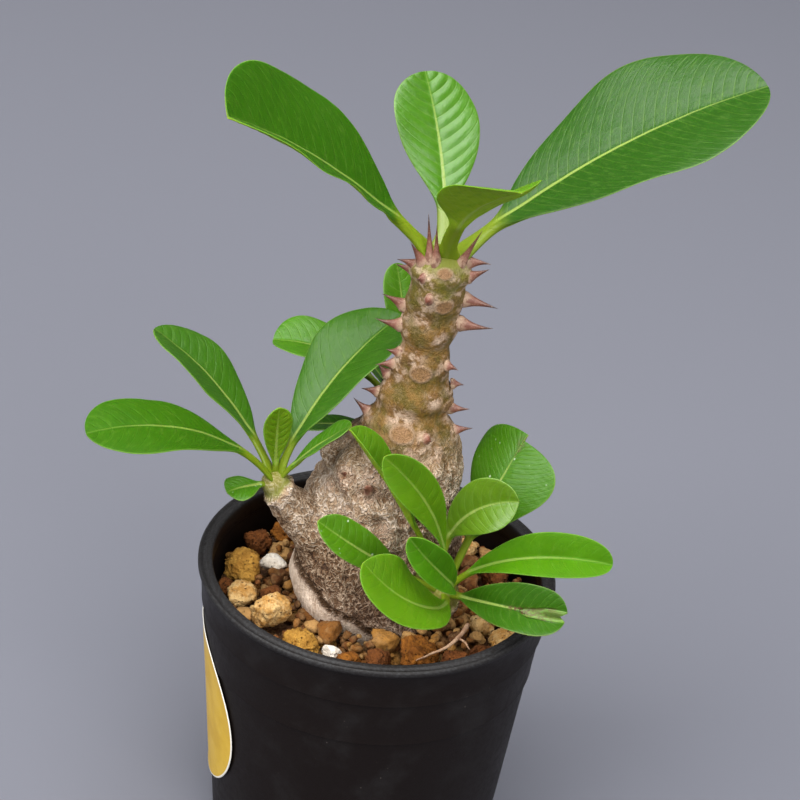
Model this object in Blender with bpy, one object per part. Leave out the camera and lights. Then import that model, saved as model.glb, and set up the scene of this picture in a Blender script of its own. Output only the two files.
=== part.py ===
"""Potted pachypodium: a swollen-stemmed succulent in a round black nursery pot.

Every separate piece is one closed body: the pot, its blank label, the soil, the loose stones on top,
a dry twig, the stem (grown as one piece with its shoots and spines) and each leaf.
Lengths are in millimetres and angles in degrees. MM turns them into metres when a mesh is made.
Azimuth 0 points along +X and 90 along +Y. The pot stands on z = 0 with its axis on Z.
"""

import math
import random
from dataclasses import dataclass

import bmesh
import bpy
from mathutils import Vector

MM = 0.001
GAP = 0.35

# Pot
POT_HEIGHT = 66.0
RIM_RADIUS = 37.5
RIM_WIDTH = 3.0
RIM_DEPTH = 1.4
RIM_BAND = 4.0
WALL = 1.5
FLOOR = 1.8
TAPER = 0.08
RING_DEPTHS = (9.5, 20.0)
RING_STEP = 0.35
POT_SIDES = 64
DRAIN_COUNT = 6
DRAIN_RADIUS = 3.5
DRAIN_CIRCLE = 19.0

# Soil and stones
SOIL_TOP = 54.0
SOIL_SIDES = 40

# Stem stations: height, centre x, centre y, half width along x, half width along y
STEM_SIDES = 28
STEM = (
    (27, 0.0, 2.0, 1.2, 1.2),
    (34, 0.0, 2.0, 4.0, 4.0),
    (42, -0.2, 2.0, 9.5, 9.0),
    (48, -0.3, 2.0, 14.0, 12.8),
    (53, -0.3, 2.0, 16.2, 14.8),
    (60, -0.4, 2.0, 17.4, 15.8),
    (69, -0.5, 2.0, 17.0, 15.4),
    (77, -0.4, 2.0, 16.2, 14.4),
    (82, -0.2, 2.0, 15.2, 13.6),
    (86, 0.6, 1.9, 13.6, 12.4),
    (91, 1.2, 1.8, 12.6, 11.4),
    (95, 2.6, 1.6, 10.9, 10.2),
    (99, 2.9, 1.4, 9.2, 8.8),
    (103, 2.8, 1.2, 7.4, 7.2),
    (107, 3.8, 1.1, 7.5, 7.3),
    (112, 4.2, 1.0, 5.7, 5.6),
    (117, 4.4, 0.8, 5.2, 5.1),
    (122, 4.7, 0.6, 5.7, 5.5),
    (127, 5.0, 0.4, 5.4, 5.4),
    (131, 5.2, 0.2, 5.5, 5.4),
    (135, 5.7, 0.0, 5.1, 5.1),
    (137.5, 6.0, 0.0, 4.3, 4.3),
    (139.2, 6.0, 0.0, 2.7, 2.7),
    (140, 6.0, 0.0, 0.9, 0.9),
)


@dataclass(frozen=True)
class Shoot:
    """A short side branch: its path with a radius at each point, ending in a dome that carries leaves."""

    name: str
    path: tuple
    dome_radius: float


@dataclass(frozen=True)
class Leaf:
    """One leaf: where it points, how it bends, and the size and set of its blade."""

    name: str
    azimuth: float
    rise: float
    droop: float
    turn: float
    length: float
    width: float
    roll: float
    fold: float
    petiole: float


# Growing tips, as (centre, radius) of the dome at the end of the trunk and of each shoot
CROWN = ((6.0, 0.0, 135.0), 5.0)
SHOOTS = (
    Shoot("left", ((-8, -1, 68, 8.0), (-14, -2.5, 74.5, 5.4), (-18.5, -3.6, 79.5, 3.7), (-22.5, -4, 85, 2.9)), 2.9),
    Shoot("back", ((2, 7, 77, 6.0), (2.5, 13, 82, 3.8), (3, 17, 88, 2.7)), 2.7),
    Shoot("front", ((9, -4, 61, 6.0), (12.5, -8.2, 63, 4.2), (14.0, -10.8, 67.8, 3.2)), 3.2),
)

# Leaves by growing tip: name, azimuth, rise, droop, turn, length, width, roll, fold, petiole share
CROWN_LEAVES = (
    Leaf("large_left", 189, 47, 23, 41, 54, 31, 23, 31, 0.16),
    Leaf("upright", 94, 45, -6, 30, 35, 19, -5, 12, 0.20),
    Leaf("small_front", -85, 62, 36, 40, 34, 20, 7, 20, 0.30),
    Leaf("large_right", 14, 45, 25, -8, 64, 34, -20, 18, 0.12),
)
LEFT_LEAVES = (
    Leaf("large_left", 210, 55, 64, -4, 43, 17, 9, 9, 0.20),
    Leaf("upper_left", 155, 60, 35, 13, 37, 17, -7, 20, 0.20),
    Leaf("young", 122, 81, -14, 0, 14, 6.4, 4, 12, 0.12),
    Leaf("upper_right", 40, 72, 52, 4, 41, 21, 5, 22, 0.15),
    Leaf("small_right", -14, 58, 17, -4, 20, 7, -15, 18, 0.15),
    Leaf("small_low", 216, 12, 20, 0, 8, 7, 14, 8, 0.15),
)
BACK_LEAVES = (
    Leaf("upper_left", 169, 63, 72, 8, 34, 16, 5, 24, 0.35),
    Leaf("upright", 109, 73, 18, 10, 33, 9, -10, 9, 0.35),
    Leaf("dark", 128, 46, 30, 10, 18, 10, -25, 20, 0.30),
    Leaf("low_left", 184, 8, 18, 0, 20, 7, 0, 12, 0.20),
)
FRONT_LEAVES = (
    Leaf("tall_left", 200, 68, 20, -29, 40, 10, 3, 40, 0.36),
    Leaf("folded_left", 246, 82, 40, -56, 38, 9, 74, 24, 0.22),
    Leaf("bright_right", -36, 106, 89, 16, 30, 12, -68, 28, 0.34),
    Leaf("notched", 28, 73, 17, 14, 34, 22, -3, -3, 0.30),
    Leaf("dark_fold", 292, 40, -13, -110, 29, 8, 76, 30, 0.10),
    Leaf("long_right", -36, 59, 64, 33, 37, 11, -44, 38, 0.15),
    Leaf("split_right", -52, 24, 16, 37, 27, 12, -48, 40, 0.10),
    Leaf("near", 278, 16, -34, -103, 35, 14, 33, 18, 0.10),
    Leaf("oblong_left", 216, 34, -7, -18, 34, 9, 51, 28, 0.25),
)
BLADE_THICKNESS = 0.7
EDGE_THICKNESS = 0.45
PETIOLE_WIDTH = 1.2
PETIOLE_THICKNESS = 0.9
FULL_PETIOLE_WIDTH = 12.0  # narrower blades have a thinner petiole
LEAF_STATIONS = 13

# Spines on the trunk: height, azimuth, length, upward tilt
SPINE_BASE = 1.15
TRUNK_SPINES = (
    (136.5, -12, 4.2, 2), (133.6, -16, 3.8, 30), (128.2, -8, 5.6, -8), (123.0, -12, 6.0, 4),
    (108.8, -4, 2.4, 10), (104.4, -8, 3.6, 4), (98.6, -6, 3.6, 15), (137.0, -150, 4.4, 50),
    (135.6, 192, 3.8, 25), (134.0, 176, 3.0, 5), (126.4, 186, 4.6, 28), (122.6, 196, 4.8, 8),
    (113.6, -165, 3.4, 5), (110.4, 184, 2.8, 40), (106.6, 188, 3.0, 12), (101.6, 186, 3.6, 35),
    (95.4, 172, 3.0, 20), (130.8, -103, 2.4, 0), (134.6, -128, 1.8, 10), (116.7, -157, 2.4, 10),
    (115.4, -34, 2.4, 10), (100.6, -64, 2.2, 15), (90.5, -133, 2.8, 30), (89.2, -110, 2.4, 25),
)
BACK_SPINES_FROM = 92.0
BACK_SPINES_TO = 134.0
BACK_SPINE_COUNT = 12

# Stones laid by hand: x, y, size, height share, colour name
STONES = (
    (-28.6, 4.6, 7.8, 0.9, "ochre"), (-22.4, 8.6, 6.4, 0.75, "pumice"), (-27.2, -5.6, 7.0, 0.9, "tan"),
    (-20.8, -11.6, 8.2, 0.95, "tan"), (-14.2, -19.6, 8.4, 0.7, "ochre"), (-7.6, -19.8, 4.4, 0.9, "pumice"),
    (-3.0, -23.2, 6.0, 0.75, "amber"), (2.8, -22.0, 6.2, 0.9, "russet"), (10.6, -19.6, 9.6, 0.8, "amber"),
    (18.4, -19.4, 6.4, 0.85, "russet"), (23.4, -15.2, 6.2, 0.8, "russet"), (27.4, -9.4, 6.4, 0.8, "tan"),
    (29.6, -2.4, 6.2, 0.85, "ochre"), (22.8, -5.8, 6.0, 0.85, "tan"), (29.4, 5.2, 6.8, 0.8, "tan"),
    (22.6, 3.2, 6.4, 0.85, "ochre"), (25.6, 13.4, 7.0, 0.8, "russet"), (-21.4, -2.4, 5.4, 0.8, "russet"),
    (-26.8, 15.2, 6.4, 0.8, "russet"), (-21.0, 20.8, 7.0, 0.8, "amber"), (-12.8, 22.2, 6.4, 0.85, "russet"),
    (-8.4, 29.0, 6.6, 0.8, "tan"), (1.6, 23.6, 6.8, 0.8, "amber"), (10.6, 22.4, 6.0, 0.9, "ochre"),
    (18.2, 21.6, 7.2, 0.8, "tan"), (-31.0, -1.4, 4.6, 0.9, "russet"),
)

# Dry twig on the stones: points with a radius
TWIG = ((19.8, -12.6, 61.6, 0.46), (18.2, -16.4, 61.4, 0.44), (15.4, -20.6, 61.2, 0.3), (9.8, -25.2, 60.8, 0.14))

# Round label on the wall
LABEL_AZIMUTH = 187.0
LABEL_HEIGHT = 32.0
LABEL_RADIUS = 20.0
LABEL_THICKNESS = 0.3
LABEL_RINGS = 6
LABEL_SPOKES = 24


def clear_scene():
    for old in list(bpy.data.objects):
        bpy.data.objects.remove(old, do_unlink=True)


def material(name, colour, roughness, metallic=0.0):
    made = bpy.data.materials.get(name)
    if made is None:
        made = bpy.data.materials.new(name)
        made.use_nodes = True
        shader = made.node_tree.nodes["Principled BSDF"]
        shader.inputs["Base Color"].default_value = (*colour, 1.0)
        shader.inputs["Roughness"].default_value = roughness
        shader.inputs["Metallic"].default_value = metallic
        made.diffuse_color = (*colour, 1.0)
    return made


def mesh_object(name, points, faces, finish, smooth=True):
    """One object from points in millimetres, with its faces turned outwards."""
    mesh = bpy.data.meshes.new(name)
    mesh.from_pydata([Vector(p) * MM for p in points], [], faces)
    tidy = bmesh.new()
    tidy.from_mesh(mesh)
    bmesh.ops.recalc_face_normals(tidy, faces=tidy.faces[:])
    bmesh.ops.triangulate(tidy, faces=[f for f in tidy.faces if len(f.verts) > 4])
    tidy.to_mesh(mesh)
    tidy.free()
    made = bpy.data.objects.new(name, mesh)
    bpy.context.scene.collection.objects.link(made)
    if finish is not None:
        mesh.materials.append(finish)
    if smooth:
        mesh.shade_smooth()
        mesh.set_sharp_from_angle(angle=math.radians(50))
    return made


def loft(name, rings, finish):
    """A closed body through rings of equal length, capped at both ends."""
    sides = len(rings[0])
    points = [p for ring in rings for p in ring]
    faces = [tuple(range(sides - 1, -1, -1))]
    for row in range(len(rings) - 1):
        low, high = row * sides, (row + 1) * sides
        for k in range(sides):
            after = (k + 1) % sides
            faces.append((low + k, low + after, high + after, high + k))
    last = (len(rings) - 1) * sides
    faces.append(tuple(range(last, last + sides)))
    return mesh_object(name, points, faces, finish)


def lathe(name, profile, sides, finish):
    """A body of revolution about Z from (radius, height) pairs that start and end on the axis."""
    rim = profile[1:-1]
    count = len(rim)
    points = [(0, 0, profile[0][1]), (0, 0, profile[-1][1])]
    faces = []
    for step in range(sides):
        angle = 2 * math.pi * step / sides
        points += [(r * math.cos(angle), r * math.sin(angle), z) for r, z in rim]
    for step in range(sides):
        here, there = 2 + step * count, 2 + (step + 1) % sides * count
        faces += [(0, there, here), (1, here + count - 1, there + count - 1)]
        for k in range(count - 1):
            faces.append((here + k, there + k, there + k + 1, here + k + 1))
    return mesh_object(name, points, faces, finish)


def tube(name, path, sides, finish, dome=0.0):
    """A round tube along points that each carry a radius, with an optional dome on its end."""
    centres = [Vector(p[:3]) for p in path]
    radii = [p[3] for p in path]
    if dome:
        end = (centres[-1] - centres[-2]).normalized()
        base = centres[-1]
        for angle in (30, 60, 84):
            centres.append(base + end * dome * math.sin(math.radians(angle)))
            radii.append(dome * math.cos(math.radians(angle)))
    rings = []
    side = None
    for k, centre in enumerate(centres):
        ahead = (centres[min(k + 1, len(centres) - 1)] - centres[max(k - 1, 0)]).normalized()
        if side is None:
            side = ahead.cross(Vector((0, 0, 1)) if abs(ahead.z) < 0.9 else Vector((1, 0, 0)))
        side = (side - ahead * side.dot(ahead)).normalized()
        other = ahead.cross(side)
        turns = [2 * math.pi * j / sides for j in range(sides)]
        rings.append([centre + (side * math.cos(a) + other * math.sin(a)) * radii[k] for a in turns])
    return loft(name, rings, finish)


def combine(target, other, operation):
    """Applies an exact Boolean and removes the second object."""
    modifier = target.modifiers.new("combine", "BOOLEAN")
    modifier.operation = operation
    modifier.solver = "EXACT"
    modifier.object = other
    depsgraph = bpy.context.evaluated_depsgraph_get()
    result = bpy.data.meshes.new_from_object(target.evaluated_get(depsgraph))
    target.modifiers.clear()
    target.data = result
    bpy.data.objects.remove(other, do_unlink=True)


def wall_radius(height):
    """Outer radius of the pot's wall, with the faint steps below its rings."""
    steps = sum(RING_STEP for depth in RING_DEPTHS if height < POT_HEIGHT - depth)
    return RIM_RADIUS - 0.5 - TAPER * (POT_HEIGHT - height) - steps


def inner_radius(height):
    return wall_radius(height) - WALL


def make_pot():
    finish = material("black_plastic", (0.012, 0.012, 0.013), 0.42)
    top, band = POT_HEIGHT, POT_HEIGHT - RIM_BAND
    lip_inside = RIM_RADIUS - RIM_WIDTH
    outside = [(wall_radius(0.8) - 0.9, 0.0), (wall_radius(0.8), 0.8)]
    for depth in reversed(RING_DEPTHS):
        level = top - depth
        outside += [(wall_radius(level - 0.5), level - 0.5), (wall_radius(level + 0.5), level + 0.5)]
    outside += [(wall_radius(top - RIM_DEPTH - 0.4), top - RIM_DEPTH - 0.4), (RIM_RADIUS, top - RIM_DEPTH)]
    lip = [(RIM_RADIUS, top - 0.4), (RIM_RADIUS - 0.4, top), (lip_inside + 1.6, top - 0.3)]
    lip += [(lip_inside + 1.1, top), (lip_inside + 0.4, top), (lip_inside, top - 0.5)]
    inside = [(lip_inside, band), (inner_radius(band - 1.0), band - 1.0)]
    inside += [(inner_radius(level), level) for level in (POT_HEIGHT - 20.6, FLOOR + 2.0)]
    inside += [(inner_radius(FLOOR) - 2.0, FLOOR)]
    profile = [(0, 0)] + outside + lip + inside + [(0, FLOOR)]
    pot = lathe("pot", profile, POT_SIDES, finish)
    for k in range(DRAIN_COUNT):
        angle = 2 * math.pi * (k + 0.5) / DRAIN_COUNT
        x, y = DRAIN_CIRCLE * math.cos(angle), DRAIN_CIRCLE * math.sin(angle)
        hole = tube("hole", ((x, y, -2, DRAIN_RADIUS), (x, y, FLOOR + 2, DRAIN_RADIUS)), 16, None)
        combine(pot, hole, "DIFFERENCE")
    pot.data.shade_smooth()
    pot.data.set_sharp_from_angle(angle=math.radians(35))


def stem_rings(spread=0.0, highest=math.inf):
    """Rings of the stem, widened by spread, up to a height."""
    rings = []
    for z, cx, cy, half_x, half_y in STEM:
        if z > highest:
            break
        ring = []
        for k in range(STEM_SIDES):
            angle = 2 * math.pi * k / STEM_SIDES
            ring.append((cx + (half_x + spread) * math.cos(angle), cy + (half_y + spread) * math.sin(angle), z))
        rings.append(ring)
    return rings


def make_soil():
    finish = material("soil_mix", (0.16, 0.09, 0.045), 0.95)
    bottom = FLOOR + GAP
    rims = ((bottom, 2.6), (FLOOR + 2.6, GAP), (POT_HEIGHT - 20.8, GAP + 0.1), (SOIL_TOP, GAP + 0.1))
    rings = []
    for z, clearance in rims:
        radius = inner_radius(z) - clearance
        turns = [2 * math.pi * k / SOIL_SIDES for k in range(SOIL_SIDES)]
        rings.append([(radius * math.cos(a), radius * math.sin(a), z) for a in turns])
    soil = loft("soil", rings, finish)
    hollow_rings = stem_rings(GAP, 60)
    hollow_rings[0] = [(x, y, z - GAP) for x, y, z in hollow_rings[0]]
    combine(soil, loft("hollow", hollow_rings, None), "DIFFERENCE")
    soil.data.shade_smooth()
    soil.data.set_sharp_from_angle(angle=math.radians(40))


def stem_surface(height, azimuth):
    """A point on the stem at a height, on the side that faces an azimuth."""
    for low, high in zip(STEM, STEM[1:]):
        if low[0] <= height <= high[0]:
            share = (height - low[0]) / (high[0] - low[0])
            _, cx, cy, half_x, half_y = (a + (b - a) * share for a, b in zip(low, high))
            angle = math.radians(azimuth)
            return Vector((cx + half_x * math.cos(angle), cy + half_y * math.sin(angle), height))
    raise ValueError(f"no stem at height {height}")


def direction(azimuth, elevation):
    a, e = math.radians(azimuth), math.radians(elevation)
    return Vector((math.cos(e) * math.cos(a), math.cos(e) * math.sin(a), math.sin(e)))


def spines():
    """Every spine as (height, azimuth, length, tilt): those placed by hand, then a spiral up the back."""
    made = list(TRUNK_SPINES)
    for k in range(BACK_SPINE_COUNT):
        height = BACK_SPINES_FROM + (BACK_SPINES_TO - BACK_SPINES_FROM) * k / (BACK_SPINE_COUNT - 1)
        made.append((height, 28 + (k * 52) % 130, 3.0 + 0.5 * (k % 3), 12))
    return made


def make_stem():
    finish = material("stem_bark", (0.30, 0.22, 0.16), 0.75)
    stem = loft("stem", stem_rings(), finish)
    for shoot in SHOOTS:
        combine(stem, tube("shoot", shoot.path, 16, finish, shoot.dome_radius), "UNION")
    for height, azimuth, length, tilt in spines():
        foot = stem_surface(height, azimuth)
        way = direction(azimuth, tilt)
        path = []
        for share, radius in ((-1.2 / length, SPINE_BASE), (0.15, SPINE_BASE * 0.75), (1.0, 0.12)):
            path.append((*(foot + way * length * share), radius))
        combine(stem, tube("spine", path, 6, finish), "UNION")
    stem.data.shade_smooth()
    stem.data.set_sharp_from_angle(angle=math.radians(60))


def leaf_axis(leaf, centre, radius):
    """Points along a leaf's midrib, each with its direction, right side and upper side."""
    count = LEAF_STATIONS
    point = Vector(centre) + direction(leaf.azimuth, leaf.rise) * (radius + GAP)
    stations = []
    step = leaf.length / (count - 1)
    for k in range(count):
        share = k / (count - 1)
        azimuth = leaf.azimuth + leaf.turn * share
        along = direction(azimuth, leaf.rise - leaf.droop * share)
        if k:
            point = point + (along + stations[-1][1]).normalized() * step
        right = Vector((math.sin(math.radians(azimuth)), -math.cos(math.radians(azimuth)), 0))
        upper = right.cross(along)
        roll = math.radians(leaf.roll)
        rolled = right * math.cos(roll) + upper * math.sin(roll)
        stations.append((point, along, rolled, rolled.cross(along), share))
    return stations


def half_width(leaf, share):
    """Half width of a leaf: a thin petiole, then a blade widest at two thirds with a round tip."""
    base_power, tip_power = 1.1, 0.5
    blade = max(0.0, (share - leaf.petiole) / (1 - leaf.petiole))
    widest = base_power / (base_power + tip_power)
    full = widest**base_power * (1 - widest) ** tip_power
    shape = blade**base_power * (1 - blade) ** tip_power / full
    petiole = PETIOLE_WIDTH * min(1.0, leaf.width / FULL_PETIOLE_WIDTH)
    return max(leaf.width / 2 * shape, petiole / 2 if share < 0.9 else 0.35)


def make_leaf(leaf, tip_name, tip):
    finish = material("leaf_green", (0.05, 0.22, 0.035), 0.35)
    rings = []
    fold = math.radians(leaf.fold)
    for point, _, right, upper, share in leaf_axis(leaf, *tip):
        half = half_width(leaf, share)
        petiole = max(0.0, 1 - share / max(leaf.petiole, 0.01) * 0.8)
        middle = BLADE_THICKNESS + (PETIOLE_THICKNESS - BLADE_THICKNESS) * petiole
        ring = []
        for across in (-1, -0.5, 0, 0.5, 1):
            thick = middle if abs(across) < 1 else EDGE_THICKNESS
            ring.append((across, thick / 2))
        ring += [(across, -thick) for across, thick in reversed(ring)]
        lift = math.sin(fold) * half * (1 - petiole)
        rings.append([point + right * a * half * math.cos(fold) + upper * (abs(a) * lift + t) for a, t in ring])
    return loft(f"leaf_{tip_name}_{leaf.name}", rings, finish)


def make_leaves():
    tips = {shoot.name: (shoot.path[-1][:3], shoot.dome_radius) for shoot in SHOOTS}
    tips["crown"] = CROWN
    groups = {"crown": CROWN_LEAVES, "left": LEFT_LEAVES, "back": BACK_LEAVES, "front": FRONT_LEAVES}
    for tip_name, leaves in groups.items():
        for leaf in leaves:
            make_leaf(leaf, tip_name, tips[tip_name])


def make_stones():
    colours = {
        "ochre": (0.36, 0.22, 0.07),
        "tan": (0.33, 0.21, 0.11),
        "pumice": (0.72, 0.70, 0.66),
        "amber": (0.32, 0.15, 0.045),
        "russet": (0.20, 0.085, 0.04),
    }
    for number, (x, y, size, flatness, colour) in enumerate(STONES, start=1):
        chance = random.Random(number)
        shape = bmesh.new()
        bmesh.ops.create_icosphere(shape, subdivisions=2, radius=size / 2)
        turn = chance.uniform(0, math.pi)
        for vertex in shape.verts:
            co = vertex.co
            wide = co.x * 1.04, co.y * 0.92, co.z * flatness
            bump = 1 + 0.06 * math.sin(3 * co.x + number) * math.cos(2.4 * co.y - number)
            px = (wide[0] * math.cos(turn) - wide[1] * math.sin(turn)) * bump
            py = (wide[0] * math.sin(turn) + wide[1] * math.cos(turn)) * bump
            vertex.co = (px, py, wide[2] * bump)
        lowest = min(v.co.z for v in shape.verts)
        points = [(x + v.co.x, y + v.co.y, SOIL_TOP + GAP + v.co.z - lowest) for v in shape.verts]
        faces = [tuple(v.index for v in f.verts) for f in shape.faces]
        shape.free()
        mesh_object(f"stone_{number:02d}", points, faces, material(f"stone_{colour}", colours[colour], 0.9))


def make_twig():
    tube("twig", TWIG, 6, material("dry_twig", (0.42, 0.26, 0.13), 0.85))


def make_label():
    """A blank round sticker bent round the pot's wall, with an even thickness."""
    finish = material("label_yellow", (0.62, 0.42, 0.03), 0.5)
    points = []
    for lift in (GAP, GAP + LABEL_THICKNESS):
        for ring in range(LABEL_RINGS + 1):
            for spoke in range(LABEL_SPOKES if ring else 1):
                angle = 2 * math.pi * spoke / LABEL_SPOKES
                reach = LABEL_RADIUS * ring / LABEL_RINGS
                height = LABEL_HEIGHT + reach * math.sin(angle)
                radius = RIM_RADIUS - 0.5 - TAPER * (POT_HEIGHT - height) - RING_STEP + lift
                turn = math.radians(LABEL_AZIMUTH) + reach * math.cos(angle) / radius
                points.append((radius * math.cos(turn), radius * math.sin(turn), height))
    sheet = 1 + LABEL_RINGS * LABEL_SPOKES
    faces = []
    for k in range(LABEL_SPOKES):
        after = (k + 1) % LABEL_SPOKES
        faces += [(0, 1 + after, 1 + k), (sheet, sheet + 1 + k, sheet + 1 + after)]
        for ring in range(LABEL_RINGS - 1):
            near, far = 1 + ring * LABEL_SPOKES, 1 + (ring + 1) * LABEL_SPOKES
            inner = (near + k, near + after, far + after, far + k)
            faces += [inner, tuple(sheet + i for i in reversed(inner))]
        rim = 1 + (LABEL_RINGS - 1) * LABEL_SPOKES
        faces.append((rim + k, rim + after, sheet + rim + after, sheet + rim + k))
    mesh_object("label", points, faces, finish)


def main():
    clear_scene()
    make_pot()
    make_soil()
    make_stem()
    make_leaves()
    make_stones()
    make_twig()
    make_label()


main()
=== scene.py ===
"""Potted pachypodium: the looks of every piece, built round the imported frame.

A small swollen-stemmed succulent stands in gravel in a round black nursery pot.  Each class below is one
sub-assembly and holds its sizes; each finish is a small frozen class that makes one procedural material.
Lengths are in millimetres and angles in degrees; MM turns them into metres when a mesh is made.  Azimuth 0
points along +X and 90 along +Y.  The pot stands on z = 0 with its axis on Z.
"""

import logging
import math
from dataclasses import dataclass, field
from enum import Enum

import bpy
import numpy as np
from mathutils import Matrix, Vector


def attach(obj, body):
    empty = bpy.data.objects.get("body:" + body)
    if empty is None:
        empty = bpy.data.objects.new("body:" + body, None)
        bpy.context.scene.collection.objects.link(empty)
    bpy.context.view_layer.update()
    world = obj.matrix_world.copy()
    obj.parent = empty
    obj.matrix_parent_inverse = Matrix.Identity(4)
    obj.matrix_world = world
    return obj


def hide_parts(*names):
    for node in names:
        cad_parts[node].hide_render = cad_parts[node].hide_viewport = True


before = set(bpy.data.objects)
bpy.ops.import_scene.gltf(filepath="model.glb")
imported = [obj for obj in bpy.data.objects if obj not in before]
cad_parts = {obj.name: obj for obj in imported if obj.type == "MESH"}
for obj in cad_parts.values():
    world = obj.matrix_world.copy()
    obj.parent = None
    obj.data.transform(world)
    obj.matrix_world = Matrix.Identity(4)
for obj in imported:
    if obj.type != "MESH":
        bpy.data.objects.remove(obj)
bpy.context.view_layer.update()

MM = 0.001
GAP = 0.35  # room between neighbouring pieces, as the frame has it
BODY = "root"
LOG = logging.getLogger("pachypodium")

Array = np.ndarray
Triple = tuple[float, float, float]
Colour = Triple
Socket = bpy.types.NodeSocket
Material = bpy.types.Material
Piece = bpy.types.Object

HASH_AXES = (73856093, 19349663, 83492791)
HASH_SEED = 2654435761
HASH_MIX = 1540483477
WORD = 0xFFFFFFFF
HALF_WORD = 2147483648.0


# ---- Numbers worked out as whole arrays ----


def smoothstep(low: float, high: float, value: Array) -> Array:
    """Rises from 0 at low to 1 at high along the curve 3t² - 2t³.

    Args:
        low: where the rise starts.
        high: where it ends.
        value: the numbers to ease.

    Returns:
        One number from 0 to 1 for each value.
    """
    t = np.clip((value - low) / (high - low), 0.0, 1.0)
    return t * t * (3.0 - 2.0 * t)


def bell(distance: Array, width: float) -> Array:
    """A Gaussian bump: 1 at distance 0, falling as e to the minus (distance / width) squared."""
    return np.exp(-((distance / width) ** 2))


def direction(azimuth: Array, elevation: Array) -> Array:
    """Unit vectors from azimuth and elevation in degrees, with x, y and z in the last axis."""
    a, e = np.radians(azimuth), np.radians(elevation)
    return np.stack([np.cos(e) * np.cos(a), np.cos(e) * np.sin(a), np.sin(e) + 0 * a], axis=-1)


def lattice_noise(points: Array, size: float | Triple, seed: int) -> Array:
    """Smooth value noise: hashed values at the corners of a cubic lattice, blended with 3t² - 2t³.

    Args:
        points: positions, with x, y and z in the last axis.
        size: the lattice step in the same unit, one number or one for each axis.
        seed: picks the pattern.

    Returns:
        One number from -1 to 1 for each point.
    """
    scaled = points / np.asarray(size, dtype=float)
    cell = np.floor(scaled).astype(np.int64)
    t = scaled - cell
    t = t * t * (3.0 - 2.0 * t)
    total = np.zeros(points.shape[:-1])
    for corner in range(8):
        step = np.array([corner & 1, corner >> 1 & 1, corner >> 2 & 1])
        at = (cell + step) * np.array(HASH_AXES)
        mixed = (at[..., 0] ^ at[..., 1] ^ at[..., 2] ^ (seed * HASH_SEED)) & WORD
        mixed = ((mixed ^ (mixed >> 13)) * HASH_MIX) & WORD
        mixed = mixed ^ (mixed >> 15)
        weight = np.prod(np.where(step == 1, t, 1.0 - t), axis=-1)
        total += weight * (mixed / HALF_WORD - 1.0)
    return total


def fractal_noise(points: Array, size: float, seed: int, octaves: int = 3) -> Array:
    """Layers of lattice noise, each half the size and half the strength of the one before."""
    layers = [lattice_noise(points, size / 2**k, seed + 17 * k) / 2**k for k in range(octaves)]
    return np.sum(layers, axis=0)


def path_spline(points: Array, count: int) -> Array:
    """A smooth run through points: a Catmull-Rom curve, sampled evenly in its parameter.

    Args:
        points: the rows to pass through, of any width.
        count: how many samples to return.

    Returns:
        The samples, one row each.
    """
    padded = np.vstack([2 * points[0] - points[1], points, 2 * points[-1] - points[-2]])
    at = np.linspace(0, len(points) - 1, count)
    first = np.minimum(at.astype(int), len(points) - 2)
    t = (at - first)[:, None]
    a, b, c, d = (padded[first + k] for k in range(4))
    return 0.5 * (2 * b + (c - a) * t + (2 * a - 5 * b + 4 * c - d) * t**2 + (3 * b - a - 3 * c + d) * t**3)


def ring_quads(rows: int, sides: int) -> Array:
    """Quads that join each ring of vertices to the next and close round on themselves.

    Args:
        rows: how many rings there are.
        sides: vertices in each ring.

    Returns:
        Vertex numbers, one row of four for each quad.
    """
    row, side = np.meshgrid(np.arange(rows - 1), np.arange(sides), indexing="ij")
    low, high = row * sides, (row + 1) * sides
    after = (side + 1) % sides
    return np.stack([low + side, low + after, high + after, high + side], axis=-1).reshape(-1, 4)


def frame_along(line: Array, hint: Triple) -> tuple[Array, Array]:
    """Two directions square to a path at each of its points, the first also square to a hint.

    Args:
        line: the path's points, one row each.
        hint: a direction that the path doesn't take.

    Returns:
        Unit vectors for both, one row for each point.
    """
    ahead = np.gradient(line, axis=0)
    ahead /= np.linalg.norm(ahead, axis=1, keepdims=True)
    across = np.cross(ahead, hint)
    across /= np.linalg.norm(across, axis=1, keepdims=True)
    return across, np.cross(ahead, across)


def linked(name: str, data: bpy.types.ID) -> Piece:
    """A new object in the scene.

    Args:
        name: its name.
        data: the mesh, camera or light that it holds.

    Returns:
        The object, at the origin.
    """
    made = bpy.data.objects.new(name, data)
    bpy.context.scene.collection.objects.link(made)
    return made


def store_values(mesh: bpy.types.Mesh, values: dict[str, Array]) -> None:
    """Stores numbers or vectors at a mesh's points, one row each, for the finishes to read.

    Args:
        mesh: the mesh.
        values: rows of one or three numbers by name.
    """
    for label, value in values.items():
        kind, key = ("FLOAT", "value") if value.shape[1] == 1 else ("FLOAT_VECTOR", "vector")
        layer = mesh.attributes.new(label, kind, "POINT")
        layer.data.foreach_set(key, value.astype(np.float32).ravel())


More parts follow.
